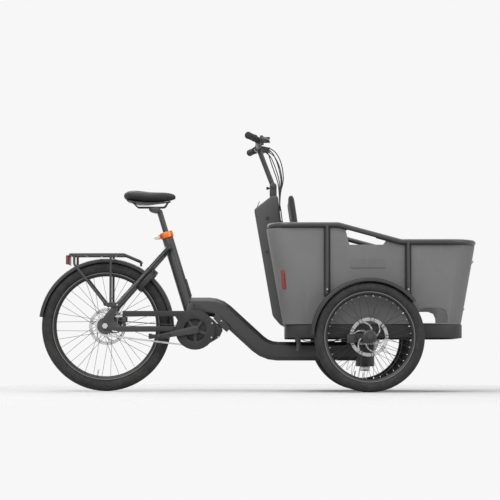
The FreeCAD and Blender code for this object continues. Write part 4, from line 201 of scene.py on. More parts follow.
class Finish:
    """A material built round one Principled surface."""

    def __init__(self, name, **fixed):
        self.material = bpy.data.materials.new(name)
        self.material.use_nodes = True
        self.tree = self.material.node_tree
        self.surface = self.tree.nodes["Principled BSDF"]
        for socket, value in fixed.items():
            self.surface.inputs[socket.replace("_", " ")].default_value = value

    def make(self, kind, settings=None, sockets=None, out=0):
        made = self.tree.nodes.new(kind)
        for key, value in (settings or {}).items():
            setattr(made, key, value)
        for key, value in (sockets or {}).items():
            self.feed(made.inputs[key], value)
        return Wire(self, made.outputs[out])

    def feed(self, socket, value):
        if isinstance(value, Wire):
            self.tree.links.new(value.socket, socket)
        else:
            socket.default_value = value

    def math(self, operation, *values):
        return self.make("ShaderNodeMath", {"operation": operation}, dict(enumerate(values)))

    def sine(self, value):
        return self.math("SINE", value)

    def larger(self, one, other):
        return self.math("MAXIMUM", one, other)

    def smaller(self, one, other):
        return self.math("MINIMUM", one, other)

    def size(self, value):
        return self.math("ABSOLUTE", value)

    def here(self, middle=(0, 0, 0), stretch=(1, 1, 1)):
        """The piece's own place, measured from a middle and stretched along each way."""
        place = self.make("ShaderNodeTexCoord", out="Object")
        shifted = self.make("ShaderNodeVectorMath", {"operation": "SUBTRACT"}, {0: place, 1: tuple(middle)})
        return self.make("ShaderNodeVectorMath", {"operation": "MULTIPLY"}, {0: shifted, 1: stretch})

    def ways(self, place):
        """The three parts of a place."""
        split = self.tree.nodes.new("ShaderNodeSeparateXYZ")
        self.feed(split.inputs[0], place)
        return [Wire(self, output) for output in split.outputs]

    def noise(self, scale, detail=3, rough=0.5, place=None):
        return self.make("ShaderNodeTexNoise", None, {
            "Vector": place or self.here(), "Scale": scale, "Detail": detail, "Roughness": rough})

    def cells(self, scale, feature="F1", place=None):
        sockets = {"Vector": place or self.here(), "Scale": scale}
        return self.make("ShaderNodeTexVoronoi", {"feature": feature}, sockets)

    def span(self, value, low, high, to_low=0.0, to_high=1.0):
        return self.make("ShaderNodeMapRange", None, {
            "Value": value, "From Min": low, "From Max": high, "To Min": to_low, "To Max": to_high})

    def blend(self, share, one, other):
        """A colour between two colours."""
        mixed = self.tree.nodes.new("ShaderNodeMix")
        mixed.data_type = "RGBA"
        self.feed(mixed.inputs[0], share)
        self.feed(mixed.inputs[6], one)
        self.feed(mixed.inputs[7], other)
        return Wire(self, mixed.outputs[2])

    def wears(self, **sockets):
        for socket, value in sockets.items():
            self.feed(self.surface.inputs[socket.replace("_", " ")], value)

    def relief(self, height, depth):
        self.wears(Normal=self.make("ShaderNodeBump", None, {"Height": height, "Distance": depth}))


def shade(level, warm=0.0):
    return (level * (1 + warm), level, level * (1 - warm), 1)


def painted(name, level, rough=0.38):
    """Satin powder coat: a fine orange peel, with handling marks that take the sheen down."""
    finish = Finish(name, Coat_Roughness=0.3, Specular_IOR_Level=0.45)
    peel = finish.noise(700, 2)
    marks = finish.noise(9, 6, 0.65)
    worn = finish.span(marks, 0.52, 0.75)
    finish.wears(
        Base_Color=finish.blend(worn * 0.55, shade(level), shade(level * 1.5, 0.02)),
        Roughness=rough + worn * 0.16 + peel * 0.08, Coat_Weight=0.25 - worn * 0.15)
    finish.relief(peel, 0.0003)
    return finish.material


def moulded(name, level, warm=0.0, grain=420, depth=0.0006, rough=0.55):
    """Moulded plastic: a pebbled grain, cloudy colour and pale rubbed streaks."""
    finish = Finish(name, Specular_IOR_Level=0.4)
    pebbles = finish.cells(grain, "SMOOTH_F1")
    cloud = finish.noise(4, 4, 0.6)
    streaks = finish.noise(30, 5, 0.7, finish.here(stretch=(1.0, 1.0, 0.12)))
    rubbed = finish.span(streaks, 0.6, 0.82)
    speck = finish.noise(1500, 1)
    tone = finish.span(cloud, 0.3, 0.7, 0.0, 0.7) + (speck - 0.5) * 0.5
    body = finish.blend(tone, shade(level * 0.86, warm), shade(level * 1.14, warm))
    finish.wears(Base_Color=finish.blend(rubbed * 0.35, body, shade(min(1, level * 1.55), warm)),
                 Roughness=rough + pebbles * 0.12 - rubbed * 0.08)
    finish.relief(pebbles, depth)
    return finish.material


def wheel_ways(finish, middle):
    """Distance from the wheel's axle, turn round it, and distance from its middle plane."""
    x, y, z = finish.ways(finish.here(middle))
    return (x * x + z * z) ** 0.5, finish.math("ARCTAN2", z, x), y


def tyre_rubber(name, middle, radius):
    """Black rubber with a blocked tread, ringed side walls and dust in the grooves."""
    finish = Finish(name, Specular_IOR_Level=0.35)
    out, turn, across = wheel_ways(finish, middle)
    crown = finish.span(out, radius - 0.016, radius - 0.009)
    slant = finish.size(across) * 260
    blocks = finish.span(finish.sine(turn * 74 + slant), -0.55, -0.25)
    ribs = finish.span(finish.size(finish.size(across) - 0.011), 0.0009, 0.0019)
    tread = finish.smaller(blocks, ribs) * crown
    rings = finish.span(finish.sine(out * 1900), 0.2, 0.9) * (1 - crown)
    dust = finish.noise(26, 6, 0.7)
    pale = finish.span(dust, 0.42, 0.75) * (0.35 + (1 - tread) * 0.4)
    finish.wears(Base_Color=finish.blend(pale, shade(0.019), shade(0.062, 0.05)),
                 Roughness=0.66 + dust * 0.2 - crown * 0.06)
    finish.relief(tread + rings * 0.12, 0.0022)
    return finish.material


def rim_metal(name, middle, radius):
    """Black anodised rim, brushed round, with a painted highlight along its outer edge: a lighter, more
    metallic line.
    """
    finish = Finish(name, Specular_IOR_Level=0.5)
    out, turn, across = wheel_ways(finish, middle)
    place = finish.make("ShaderNodeCombineXYZ", None, {0: out * 900, 1: turn * 3, 2: across * 900})
    brush = finish.noise(1, 3, 0.6, place)
    # edge masks the painted highlight: a lighter, more metallic line just inside the rim's outer edge
    edge = finish.span(out, radius - 0.0034, radius - 0.0026)
    finish.wears(
        Base_Color=finish.blend(edge, finish.blend(brush, shade(0.02), shade(0.045)), shade(0.22)),
        Metallic=0.5 + edge * 0.4, Roughness=0.34 + brush * 0.12)
    finish.relief(brush, 0.0002)
    return finish.material


def rotor_metal(name, middle, radius):
    """Ground stainless steel, brushed round, with rows of drilled holes in the band that the pads grip."""
    finish = Finish(name, Anisotropic=0.4)
    out, turn, across = wheel_ways(finish, middle)
    place = finish.make("ShaderNodeCombineXYZ", None, {0: out * 2600, 1: turn * 2, 2: across * 100})
    brush = finish.noise(1, 2, 0.5, place)
    row = finish.math("FRACT", (out - (radius - 0.015)) * 200)
    shift = finish.math("FLOOR", (out - (radius - 0.015)) * 200)
    step = finish.math("FRACT", turn * (48 / math.tau) + shift * 0.36 + 8)
    along = (step - 0.5) * (radius * math.tau / 48)
    beside = (row - 0.5) * 0.005
    solid = finish.span((along * along + beside * beside) ** 0.5, 0.0016, 0.0019)
    inner_edge = finish.span(out, radius - 0.0152, radius - 0.0150)
    band = inner_edge * finish.span(out, radius - 0.0002, radius, 1, 0)
    finish.wears(Base_Color=finish.blend(brush, shade(0.42), shade(0.66)), Metallic=1.0,
                 Roughness=0.24 + brush * 0.14, Alpha=finish.larger(solid, 1 - band))
    finish.relief(brush, 0.0001)
    return finish.material


def bright_metal(name, level=0.6, rough=0.24):
    """Bright plated steel with fine scratches and a little grime."""
    finish = Finish(name, Metallic=1.0)
    scratch = finish.noise(160, 4, 0.6, finish.here(stretch=(1, 8, 1)))
    grime = finish.span(finish.noise(38, 5, 0.7), 0.5, 0.72)
    finish.wears(Base_Color=finish.blend(grime * 0.6, shade(level), shade(level * 0.4, 0.06)),
                 Roughness=rough + scratch * 0.14 + grime * 0.14)
    finish.relief(scratch, 0.0001)
    return finish.material


def orange_metal(name):
    """Orange anodised aluminium, turned, with its dye thin here and there."""
    finish = Finish(name, Metallic=0.75)
    lathe = finish.noise(1, 2, 0.5, finish.here(stretch=(20, 20, 2600)))
    dye = finish.noise(40, 3)
    finish.wears(Base_Color=finish.blend(dye, (0.72, 0.13, 0.02, 1), (0.86, 0.23, 0.05, 1)),
                 Roughness=0.3 + lathe * 0.14)
    finish.relief(lathe, 0.0001)
    return finish.material


def saddle_skin(name):
    """Black saddle skin with a leather grain, polished in patches."""
    finish = Finish(name, Specular_IOR_Level=0.4)
    grain = finish.cells(520, "DISTANCE_TO_EDGE")
    folds = finish.noise(60, 4, 0.6)
    worn = finish.span(finish.noise(14, 3), 0.45, 0.7)
    finish.wears(Base_Color=finish.blend(folds, shade(0.016), shade(0.034)),
                 Roughness=0.56 + folds * 0.14 - worn * 0.12)
    finish.relief(finish.span(grain, 0.0, 0.12) + folds * 0.5, 0.0006)
    return finish.material


def woven(name, level):
    """Plain weave seat fabric: threads over and under, with a slub and patches rubbed lighter."""
    finish = Finish(name, Sheen_Weight=0.25, Sheen_Roughness=0.5, Specular_IOR_Level=0.25)
    x, y, z = finish.ways(finish.here())
    warp = finish.sine(y * 2600)
    weft = finish.sine((x + z) * 2600)
    thread = finish.larger(warp * 0.5 + 0.5, weft * 0.5 + 0.5)
    over = finish.span(warp * weft, -0.4, 0.4)
    slub = finish.noise(220, 3, place=finish.here(stretch=(1, 0.2, 1)))
    wear = finish.noise(7, 4)
    tone = over * 0.45 + slub * 0.4 + finish.span(wear, 0.4, 0.7) * 0.3
    finish.wears(Base_Color=finish.blend(tone, shade(level * 0.62), shade(level * 1.4, 0.02)),
                 Roughness=0.82 + slub * 0.12)
    finish.relief(thread + over * 0.5, 0.0005)
    return finish.material


def board_wood(name):
    """Birch board under a dark stain, with long grain."""
    finish = Finish(name, Specular_IOR_Level=0.35)
    long_grain = finish.noise(24, 6, 0.65, finish.here(stretch=(9, 0.6, 9)))
    rings = finish.make("ShaderNodeTexWave", {"wave_type": "BANDS", "bands_direction": "X"}, {
        "Vector": finish.here(stretch=(1, 0.08, 1)), "Scale": 26, "Distortion": 5, "Detail": 3}, out="Fac")
    tone = long_grain * 0.6 + rings * 0.4
    finish.wears(Base_Color=finish.blend(tone, (0.12, 0.085, 0.055, 1), (0.3, 0.22, 0.14, 1)),
                 Roughness=0.48 + tone * 0.2)
    finish.relief(tone, 0.0004)
    return finish.material


def soft_rubber(name, level=0.022, ribs=900):
    """Soft rubber with close ribs and a dusty bloom."""
    finish = Finish(name, Specular_IOR_Level=0.3)
    y = finish.ways(finish.here())[1]
    ridge = finish.span(finish.sine(y * ribs), -0.2, 0.5)
    bloom = finish.noise(34, 5, 0.7)
    finish.wears(Base_Color=finish.blend(bloom * 0.5, shade(level), shade(level * 2.6, 0.03)),
                 Roughness=0.68 + bloom * 0.2)
    finish.relief(ridge, 0.0007)
    return finish.material


def hose_skin(name):
    """Smooth black hose jacket, a little patchy in its sheen."""
    finish = Finish(name, Specular_IOR_Level=0.45)
    patches = finish.noise(55, 4, 0.6)
    finish.wears(Base_Color=finish.blend(patches, shade(0.014), shade(0.03)), Roughness=0.36 + patches * 0.2)
    finish.relief(finish.noise(300, 2), 0.0002)
    return finish.material


def lens(name, deep, bright, prism=330):
    """Moulded lens: small prisms under a smooth skin."""
    finish = Finish(name, Coat_Weight=0.6, Coat_Roughness=0.06)
    prisms = finish.cells(prism, "F1")
    cloud = finish.noise(30, 3)
    finish.wears(Base_Color=finish.blend(finish.span(prisms, 0.1, 0.6), bright, deep),
                 Roughness=0.16 + cloud * 0.12)
    finish.relief(prisms, 0.0008)
    return finish.material


def pale_floor(name):
    """A pale floor that thins out to the backdrop's white away from the machine."""
    finish = Finish(name, Specular_IOR_Level=0.1)
    cloud = finish.noise(0.7, 3)
    x, y = finish.ways(finish.here())[:2]
    away = (x * x + y * y) ** 0.5
    finish.wears(Base_Color=finish.blend(cloud, shade(0.62), shade(0.66)), Roughness=0.8 + cloud * 0.1,
                 Alpha=finish.span(away, 1.3, 3.4, 1.0, 0.0))
    return finish.material


skins = {
    "frame_paint": painted("charcoal_satin_coat", 0.027, 0.34),
    "rail_paint": painted("black_satin_coat", 0.034, 0.36),
    "box_plastic": moulded("grey_moulded_box", 0.17, 0.006),
    "column_plastic": moulded("dark_moulded_cover", 0.069, 0.0, 600, 0.0004, 0.5),
    "black_plastic": moulded("black_moulded_plastic", 0.024, 0.0, 700, 0.0003, 0.46),
    "rim_black": painted("black_hub_coat", 0.02, 0.3),
    "bright_steel": bright_metal("bright_plated_steel"),
    "orange_metal": orange_metal("orange_anodised"),
    "saddle_skin": saddle_skin("black_saddle_skin"),
    "cushion_fabric": woven("dark_seat_weave", 0.05),
    "board_wood": board_wood("stained_birch"),
    "grip_rubber": soft_rubber("black_grip_rubber"),
    "red_lens": lens("red_reflector", (0.17, 0.003, 0.003, 1), (0.48, 0.012, 0.008, 1)),
    "clear_lens": lens("clear_lamp_lens", (0.36, 0.37, 0.38, 1), (0.78, 0.79, 0.8, 1)),
}
hose_black = hose_skin("black_hose_jacket")
dark_steel = bright_metal("burnished_steel", 0.10, 0.36)
plate_grey = moulded("bare_plate", 0.155, 0.0, 900, 0.0002, 0.42)
wheels = {"rear": rear_middle, "right": right_middle, "left": left_middle}


def half_across(node):
    low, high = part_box(node)
    return (high[0] - low[0]) / 2


tyre_skins = {side: tyre_rubber(f"{side}_tyre_rubber", middle, half_across(f"{side}_tyre"))
              for side, middle in wheels.items()}
rim_skins = {side: rim_metal(f"{side}_rim_metal", middle, half_across(f"{side}_rim"))
             for side, middle in wheels.items()}
rotor_skins = {side: rotor_metal(f"{side}_rotor_steel", middle, half_across(f"{side}_rotor"))
               for side, middle in wheels.items()}


def coat(piece, material):
    piece.data.materials.clear()
    piece.data.materials.append(material)


slots = {name: part.material_slots[0].material.name for name, part in nodes.items()}
for name, part in nodes.items():
    side, _, kind = name.partition("_")
    if kind == "rotor":
        part.material_slots[0].material = rotor_skins[side]
    elif kind == "tyre":
        part.material_slots[0].material = tyre_skins[side]
    elif name == "rear_sprocket":
        part.material_slots[0].material = dark_steel
    elif name in ("gear_cable", "control_hoses", "front_hoses"):
        part.material_slots[0].material = hose_black
    else:
        part.material_slots[0].material = skins[slots[name]]

# Ways of making


WELD = 0.00002  # vertices nearer than this become one
FLAT = math.radians(0.5)  # faces that meet at less than this become one


def fresh():
    """Nothing is selected, and Blender is out of edit mode."""
    if bpy.context.object and bpy.context.object.mode != "OBJECT":
        bpy.ops.object.mode_set(mode="OBJECT")
    bpy.ops.object.select_all(action="DESELECT")


def take(piece):
    """Only this piece is selected, and it is the active one."""
    fresh()
    piece.select_set(True)
    bpy.context.view_layer.objects.active = piece


def shut(name):
    """The mesh that was being edited is left and named."""
    bpy.ops.object.mode_set(mode="OBJECT")
    piece = bpy.context.object
    piece.name = name
    piece.data.name = name
    return piece


def settle(piece):
    """The object's place goes into its mesh."""
    take(piece)
    bpy.ops.object.transform_apply(location=True, rotation=True, scale=True)
    return piece


def outward():
    bpy.ops.mesh.select_all(action="SELECT")
    bpy.ops.mesh.remove_doubles(threshold=WELD)
    bpy.ops.mesh.normals_make_consistent(inside=False)


def capped():
    """The open ends of the mesh being edited are closed."""
    bpy.ops.mesh.select_all(action="DESELECT")
    bpy.ops.mesh.select_mode(type="EDGE")
    bpy.ops.mesh.select_non_manifold(extend=False, use_wire=False, use_multi_face=False,
                                     use_non_contiguous=False, use_verts=False)
    bpy.ops.mesh.edge_face_add()
    bpy.ops.mesh.select_mode(type="VERT")


def smooth(piece, angle=32):
    take(piece)
    bpy.ops.object.shade_smooth_by_angle(angle=math.radians(angle))
    return piece


def worked(piece, kind, **settings):
    """A modifier is set and applied."""
    take(piece)
    step = piece.modifiers.new(kind.lower(), kind)
    for key, value in settings.items():
        setattr(step, key, value)
    bpy.ops.object.modifier_apply(modifier=step.name)
    return piece


def joined(name, *pieces):
    fresh()
    for piece in pieces:
        piece.select_set(True)
    bpy.context.view_layer.objects.active = pieces[0]
    if len(pieces) > 1:
        bpy.ops.object.join()
    pieces[0].name = name
    pieces[0].data.name = name
    return pieces[0]


def copied(piece, name, matrix):
    """A copy with its own mesh, moved by a matrix."""
    twin = piece.copy()
    twin.data = piece.data.copy()
    twin.name = name
    scene.collection.objects.link(twin)
    twin.data.transform(matrix)
    if matrix.determinant() < 0:
        twin.data.flip_normals()
    return twin


def other_side(piece, name):
    return copied(piece, name, Matrix.Scale(-1, 4, ACROSS))


def both_sides(name, near, far_name):
    """A near piece joined with its copy on the far side."""
    return joined(name, near, other_side(near, far_name))


def mounted(piece, body, slot, *stands_for):
    """The piece rides on its body, takes its finish's slot and hides the plain nodes that it stands for."""
    if not piece.data.materials:
        coat(piece, skins[slot])
    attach(piece, body)
    if stands_for:
        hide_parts(*stands_for)
    return piece


def outline(points):
    """A circle with one vertex to a point, whose vertices are then set on the points."""
    fresh()
    bpy.ops.mesh.primitive_circle_add(vertices=len(points), radius=0.01)
    bpy.ops.object.mode_set(mode="EDIT")
    drawn = bmesh.from_edit_mesh(bpy.context.object.data)
    drawn.verts.ensure_lookup_table()
    for vertex, place in zip(drawn.verts, points):
        vertex.co = place
    bmesh.update_edit_mesh(bpy.context.object.data)
    bpy.ops.mesh.select_all(action="SELECT")


def turned(name, section, middle, steps=96, sweep=math.tau, begin=0.0, axis=ACROSS):
    """A section of (distance out, distance along the axle) points, spun round an axle."""
    out = Vector((math.cos(begin), 0, math.sin(begin))) if axis == ACROSS else axis.orthogonal().normalized()
    outline([middle + out * far + axis * along for far, along in section])
    bpy.ops.mesh.spin(steps=steps, angle=sweep, center=middle, axis=axis)
    if sweep < math.tau:
        capped()
    outward()
    return shut(name)


def slab(name, points, half, edge=0.0, steps=3, middle=0.0):
    """A plate from a side view in metres, drawn out across and eased round its edges."""
    outline([Vector((x, middle - half, z)) for x, z in points])
    bpy.ops.mesh.edge_face_add()
    bpy.ops.mesh.extrude_region_move(TRANSFORM_OT_translate={"value": (0, half * 2, 0)})
    outward()
    if edge:
        bpy.ops.mesh.bevel(offset=edge, segments=steps, affect="EDGES", clamp_overlap=True)
    return shut(name)


def brick(name, middle, sizes, edge=0.002, steps=3, turn=None):
    """A cube scaled to size in edit mode and eased round its edges."""
    fresh()
    bpy.ops.mesh.primitive_cube_add(size=1, location=middle)
    bpy.ops.object.mode_set(mode="EDIT")
    bpy.ops.transform.resize(value=sizes, center_override=middle)
    bpy.ops.mesh.select_all(action="SELECT")
    bpy.ops.mesh.bevel(offset=edge, segments=steps, affect="EDGES", clamp_overlap=True)
    piece = shut(name)
    if turn:
        piece.rotation_euler = turn
    return settle(piece)


def tube(name, route, radius, bends=0.0, sides=18, step=0.16):
    """A circle drawn out along the straight runs of a route and spun round its bends."""
    route = [Vector(place) for place in route]
    if not isinstance(bends, (list, tuple)):
        bends = [bends] * (len(route) - 2)
    first = (route[1] - route[0]).normalized()
    fresh()
    bpy.ops.mesh.primitive_circle_add(vertices=sides, radius=radius, location=route[0],
                                      rotation=first.to_track_quat("Z", "Y").to_euler())
    settle(bpy.context.object)
    bpy.ops.object.mode_set(mode="EDIT")
    bpy.ops.mesh.select_all(action="SELECT")
    here = route[0]
    for corner, after, bend in zip(route[1:-1], route[2:], bends):
        way_in, way_out = (corner - here).normalized(), (after - corner).normalized()
        turn = way_in.angle(way_out)
        if turn < 0.001:
            continue
        trim = bend * math.tan(turn / 2)
        start = corner - way_in * trim
        bpy.ops.mesh.extrude_region_move(TRANSFORM_OT_translate={"value": start - here})
        axis = way_in.cross(way_out).normalized()
        middle = start + axis.cross(way_in) * bend
        bpy.ops.mesh.spin(steps=max(2, math.ceil(turn / step)), angle=-turn, center=middle, axis=axis)
        here = corner + way_out * trim
    bpy.ops.mesh.extrude_region_move(TRANSFORM_OT_translate={"value": route[-1] - here})
    bpy.ops.mesh.edge_face_add()
    capped()
    outward()
    return smooth(shut(name), 40)


def drawn_along(name, rings, sides=16):
    """A circle drawn out ahead from ring to ring. A ring is (ahead, half width, low, high)."""
    def middle(ring):
        return Vector((ring[0], 0, (ring[2] + ring[3]) / 2))

    fresh()
    bpy.ops.mesh.primitive_circle_add(vertices=sides, radius=1, location=middle(rings[0]),
                                      rotation=(math.pi / 2, 0, math.pi / 2))
    settle(bpy.context.object)
    bpy.ops.object.mode_set(mode="EDIT")
    bpy.ops.mesh.select_all(action="SELECT")
    wide, tall = 1.0, 1.0
    for before, ring in zip([rings[0]] + list(rings), rings):
        if ring is not rings[0]:
            bpy.ops.mesh.extrude_region_move(TRANSFORM_OT_translate={"value": middle(ring) - middle(before)})
        new_wide, new_tall = ring[1], (ring[3] - ring[2]) / 2
        bpy.ops.transform.resize(value=(1, new_wide / wide, new_tall / tall), center_override=middle(ring))
        wide, tall = new_wide, new_tall
    bpy.ops.mesh.edge_face_add()
    capped()
    outward()
    return shut(name)


def lathed(name, section, steps):
    """A small fitting turned round the upright, standing at the origin."""
    return smooth(turned(name, section, Vector(), steps, axis=UP), 35)


def screw(radius, tall):
    """A button-head screw with a socket in its head, standing at the origin."""
    return lathed("screw", [
        (0, 0), (radius, 0), (radius, tall * 0.4), (radius * 0.74, tall), (radius * 0.52, tall),
        (radius * 0.46, tall * 0.35), (0, tall * 0.35),
    ], 12)


def stood(first, name, places):
    """Copies of a piece made at the origin, one at each place, each standing along its way out."""
    copies = []
    for place, way in places:
        upright = Vector(way).to_track_quat("Z", "Y").to_matrix().to_4x4()
        copies.append(copied(first, name, Matrix.Translation(place) @ upright))
    bpy.data.objects.remove(first)
    return joined(name, *copies)


def eased(node, edge, steps=2, angle=30, limit=28):
    """A merged copy of a CAD node with its sharp edges rounded. It stands for the node."""
    part = nodes[node]
    piece = part.copy()
    piece.data = part.data.copy()
    piece.parent = None
    piece.matrix_world = Matrix.Identity(4)
    scene.collection.objects.link(piece)
    for key in list(piece.keys()):
        del piece[key]
    take(piece)
    bpy.ops.object.mode_set(mode="EDIT")
    bpy.ops.mesh.select_all(action="SELECT")
    bpy.ops.mesh.remove_doubles(threshold=WELD)
    bpy.ops.mesh.dissolve_limited(angle_limit=FLAT)
    shut(f"eased_{node}")
    if edge:
        worked(piece, "BEVEL", width=edge, segments=steps, limit_method="ANGLE",
               angle_limit=math.radians(limit), use_clamp_overlap=True)
    smooth(piece, angle)
    return mounted(piece, body_of(part)[0], slots[node], node)


# Control hoses, free between their ends

BAR = (733, 1172)
BAR_RADIUS = 11.1
HOSE_RADIUS = 2.5
HOSE_INNER_ROUTE = ((776, 1152), (792, 1094), (816, 1034), (828, 996), (833, 950))
HOSE_OUTER_ROUTE = ((800, 1166), (841, 1110), (854, 1040), (852, 1000), (837, 950))
HOSE_ENDS = ((-78, -20, 1.0), (-70, -32, 0.62), (70, 32, 0.8), (78, 20, 0.36), (-62, -8, 0.06))
HOSE_LANDING = (836.2, 886)


def hose_route(top, low, bow):
    """One hose's points: from the bar's front, bowed ahead of the riser, to the column's front."""
    sides = (top, (top + low) / 2, low, low, low)
    bowed = [spot(inner[0] + (outer[0] - inner[0]) * bow, y, inner[1] + (outer[1] - inner[1]) * bow)
             for inner, outer, y in zip(HOSE_INNER_ROUTE, HOSE_OUTER_ROUTE, sides)]
    start = spot(BAR[0] + BAR_RADIUS + HOSE_RADIUS + 0.3, top, BAR[1])
    return [start, *bowed, spot(HOSE_LANDING[0], low, HOSE_LANDING[1])]


def control_hoses():
    """Five slim hoses that bow ahead of the bar and land in a grommet on the column's front."""
    for number, ends in enumerate(HOSE_ENDS):
        route = hose_route(*ends)
        line = bpy.data.curves.new(f"control_hose_{number}", "CURVE")
        line.dimensions = "3D"
        spline = line.splines.new("NURBS")
        spline.points.add(len(route) - 1)
        for knot, place in zip(spline.points, route):
            knot.co = (*place, 1)
        spline.order_u = 3
        spline.use_endpoint_u = True
        spline.resolution_u = 12
        hose = bpy.data.objects.new(f"control_hose_{number}", line)
        scene.collection.objects.link(hose)
        middle_line = hose.to_mesh()
        hose.to_mesh_clear()
        line.bevel_depth = HOSE_RADIUS * MM
        line.bevel_resolution = 3
        line.use_fill_caps = True
        take(hose)
        bpy.ops.object.convert(target="MESH")
        hose = smooth(bpy.context.object, 50)
        coat(hose, hose_black)
        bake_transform(hose, "handlebar", "front_unit", route[1], route[5])
        if number == 0:
            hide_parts("control_hoses")


def hose_grommet():
    """The rubber block that takes the hoses into the column, and one hose clipped on down its front face."""
    block = smooth(brick("hose_grommet", spot(835.5, 0, 881), (0.011, 0.086, 0.018), 0.004, 4))
    route = [spot(x, -20, z) for x, z in ((840, 878), (848, 816), (866.6, 665))]
    run = tube("front_face_hose", route, HOSE_RADIUS * MM, 0.05, 12)
    clips = [smooth(brick("hose_clip", spot(x, -20, z), (0.008, 0.014, 0.006), 0.0015, 2))
             for x, z in ((846.5, 816), (857.5, 728))]
    mounted(joined("hose_landing", block, run, *clips), "front_unit", "grip_rubber")


# Wheels


def tyre(side, middle):
    low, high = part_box(f"{side}_tyre")
    radius, half = (high[0] - low[0]) / 2, (high[1] - low[1]) / 2
    points, inner_share = 32, 0.92
    section = []
    for number in range(points):
        turn = math.tau * number / points
        out = math.cos(turn)
        reach = out if out > 0 else out * inner_share
        section.append((radius - half + half * reach, half * math.sin(turn)))
    piece = smooth(turned(f"{side}_round_tyre", section, middle, 128), 60)
    coat(piece, tyre_skins[side])
    mounted(piece, f"{side}_wheel", "tyre_rubber", f"{side}_tyre")


def rim(side, middle):
    low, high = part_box(f"{side}_rim")
    radius, half = (high[0] - low[0]) / 2, (high[1] - low[1]) / 2
    deep, lip, well = 0.0175 if side == "rear" else 0.016, 0.0035, 0.006
    section = [
        (radius, half), (radius - lip, half), (radius - deep * 0.6, half * 0.86),
        (radius - deep * 0.92, half * 0.5), (radius - deep, half * 0.28), (radius - deep, -half * 0.28),
        (radius - deep * 0.92, -half * 0.5), (radius - deep * 0.6, -half * 0.86), (radius - lip, -half),
        (radius, -half),
        (radius - 0.001, -half + 0.002), (radius - well, -half + 0.004), (radius - well, half - 0.004),
        (radius - 0.001, half - 0.002),
    ]
    piece = smooth(turned(f"{side}_shaped_rim", section, middle, 108), 28)
    coat(piece, rim_skins[side])
    mounted(piece, f"{side}_wheel", "rim_black", f"{side}_rim")
    return radius - deep


SPOKES = 36
SPOKE_CROSS = math.radians(48)
SPOKE_ROOT, FLANGE_HALF = 0.030, 0.029
REAR_SPOKE_START, FRONT_SPOKE_START = 5.1, 5  # degrees round the rim to the first spoke


def spoke_ends(floor, phase):
    """Where each crossed spoke meets the rim, and where it leaves its flange."""
    ends = []
    for number in range(SPOKES):
        turn = math.radians(phase + number * 360 / SPOKES)
        lean = SPOKE_CROSS * (1 if number // 2 % 2 else -1)
        offset = FLANGE_HALF if number % 2 else -FLANGE_HALF
        tip = Vector((math.cos(turn), 0, math.sin(turn))) * (floor + 0.001)
        foot = Vector((math.cos(turn + lean) * SPOKE_ROOT, offset, math.sin(turn + lean) * SPOKE_ROOT))
        ends.append((tip, foot))
    return ends


def hub(side, middle, floor, phase):
    """A turned hub shell with two flanges, and slim round spokes."""
    bore = 0.0061 if side == "rear" else 0.0101
    inner = 0.058 if side == "rear" else 0.046
    way = -1 if side == "left" else 1
    section = [(bore, -0.034), (0.0165, -0.034), (0.0185, -0.0322), (0.0295, -0.0312), (0.031, -0.030),
               (0.031, -0.028), (0.0295, -0.0268), (0.021, -0.025), (0.018, -0.014), (0.018, 0.014),
               (0.021, 0.025), (0.0295, 0.0268), (0.031, 0.028), (0.031, 0.030), (0.0295, 0.0312),
               (0.019, 0.0325), (0.019, inner - 0.002), (0.0175, inner), (bore, inner)]
    section = [(out, along * way) for out, along in section]
    shell = smooth(turned(f"{side}_hub_shell", section, middle, 48), 35)
    ends = spoke_ends(floor, phase)
    long = (ends[0][0] - ends[0][1]).length
    spoke = tube("spoke", [(0, 0, 0), (0, 0, long * 0.5), (0, 0, long)], 0.001, sides=6)
    wires = stood(spoke, f"{side}_spokes", [(middle + foot, tip - foot) for tip, foot in ends])
    mounted(joined(f"{side}_hub_and_spokes", shell, wires), f"{side}_wheel", "rim_black", f"{side}_hub")


def rotor(side, middle):
    """A ground steel ring on six swept arms round a carrier."""
    low, high = [Vector(corner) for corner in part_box(f"{side}_rotor")]
    place = Vector((middle.x, (low.y + high.y) / 2, middle.z))
    half, radius, arm_count = (high.y - low.y) / 2, 0.09, 6
    ring = turned(f"{side}_rotor_ring", [
        (radius - 0.0004, half), (radius, half * 0.6), (radius, -half * 0.6), (radius - 0.0004, -half),
        (radius - 0.0156, -half), (radius - 0.016, -half * 0.6), (radius - 0.016, half * 0.6),
        (radius - 0.0156, half),
    ], place, 96)
    carrier = turned(f"{side}_rotor_carrier", [
        (0.026, half), (0.0264, half * 0.6), (0.0264, -half * 0.6), (0.026, -half), (0.0152, -half),
        (0.0152, half),
    ], place, 48)
    arms = []
    arm = rotor_arm(half)
    for number in range(arm_count):
        turn = Matrix.Rotation(math.tau / arm_count * number, 4, "Y")
        arms.append(copied(arm, "rotor_arm", Matrix.Translation(place) @ turn))
    bpy.data.objects.remove(arm)
    piece = smooth(joined(f"{side}_round_rotor", ring, carrier, *arms), 32)
    coat(piece, rotor_skins[side])
    mounted(piece, f"{side}_wheel", slots[f"{side}_rotor"], f"{side}_rotor")


def rotor_arm(half):
    """One arm, swept from the carrier out to the ring and narrowest in its middle."""
    root, reach, sweep, end_half, waist, steps = 0.0235, 0.0525, 0.95, 0.0066, 0.0022, 8
    leading, trailing = [], []
    for step in range(steps + 1):
        share = step / steps
        out = root + reach * share
        turn = sweep * share ** 1.3
        wide = (end_half - waist * math.sin(math.pi * share)) / out
        leading.append((out * math.cos(turn + wide), out * math.sin(turn + wide)))
        trailing.append((out * math.cos(turn - wide), out * math.sin(turn - wide)))
    return slab("rotor_arm", leading + trailing[::-1], half * 0.96, 0.0003, 1)


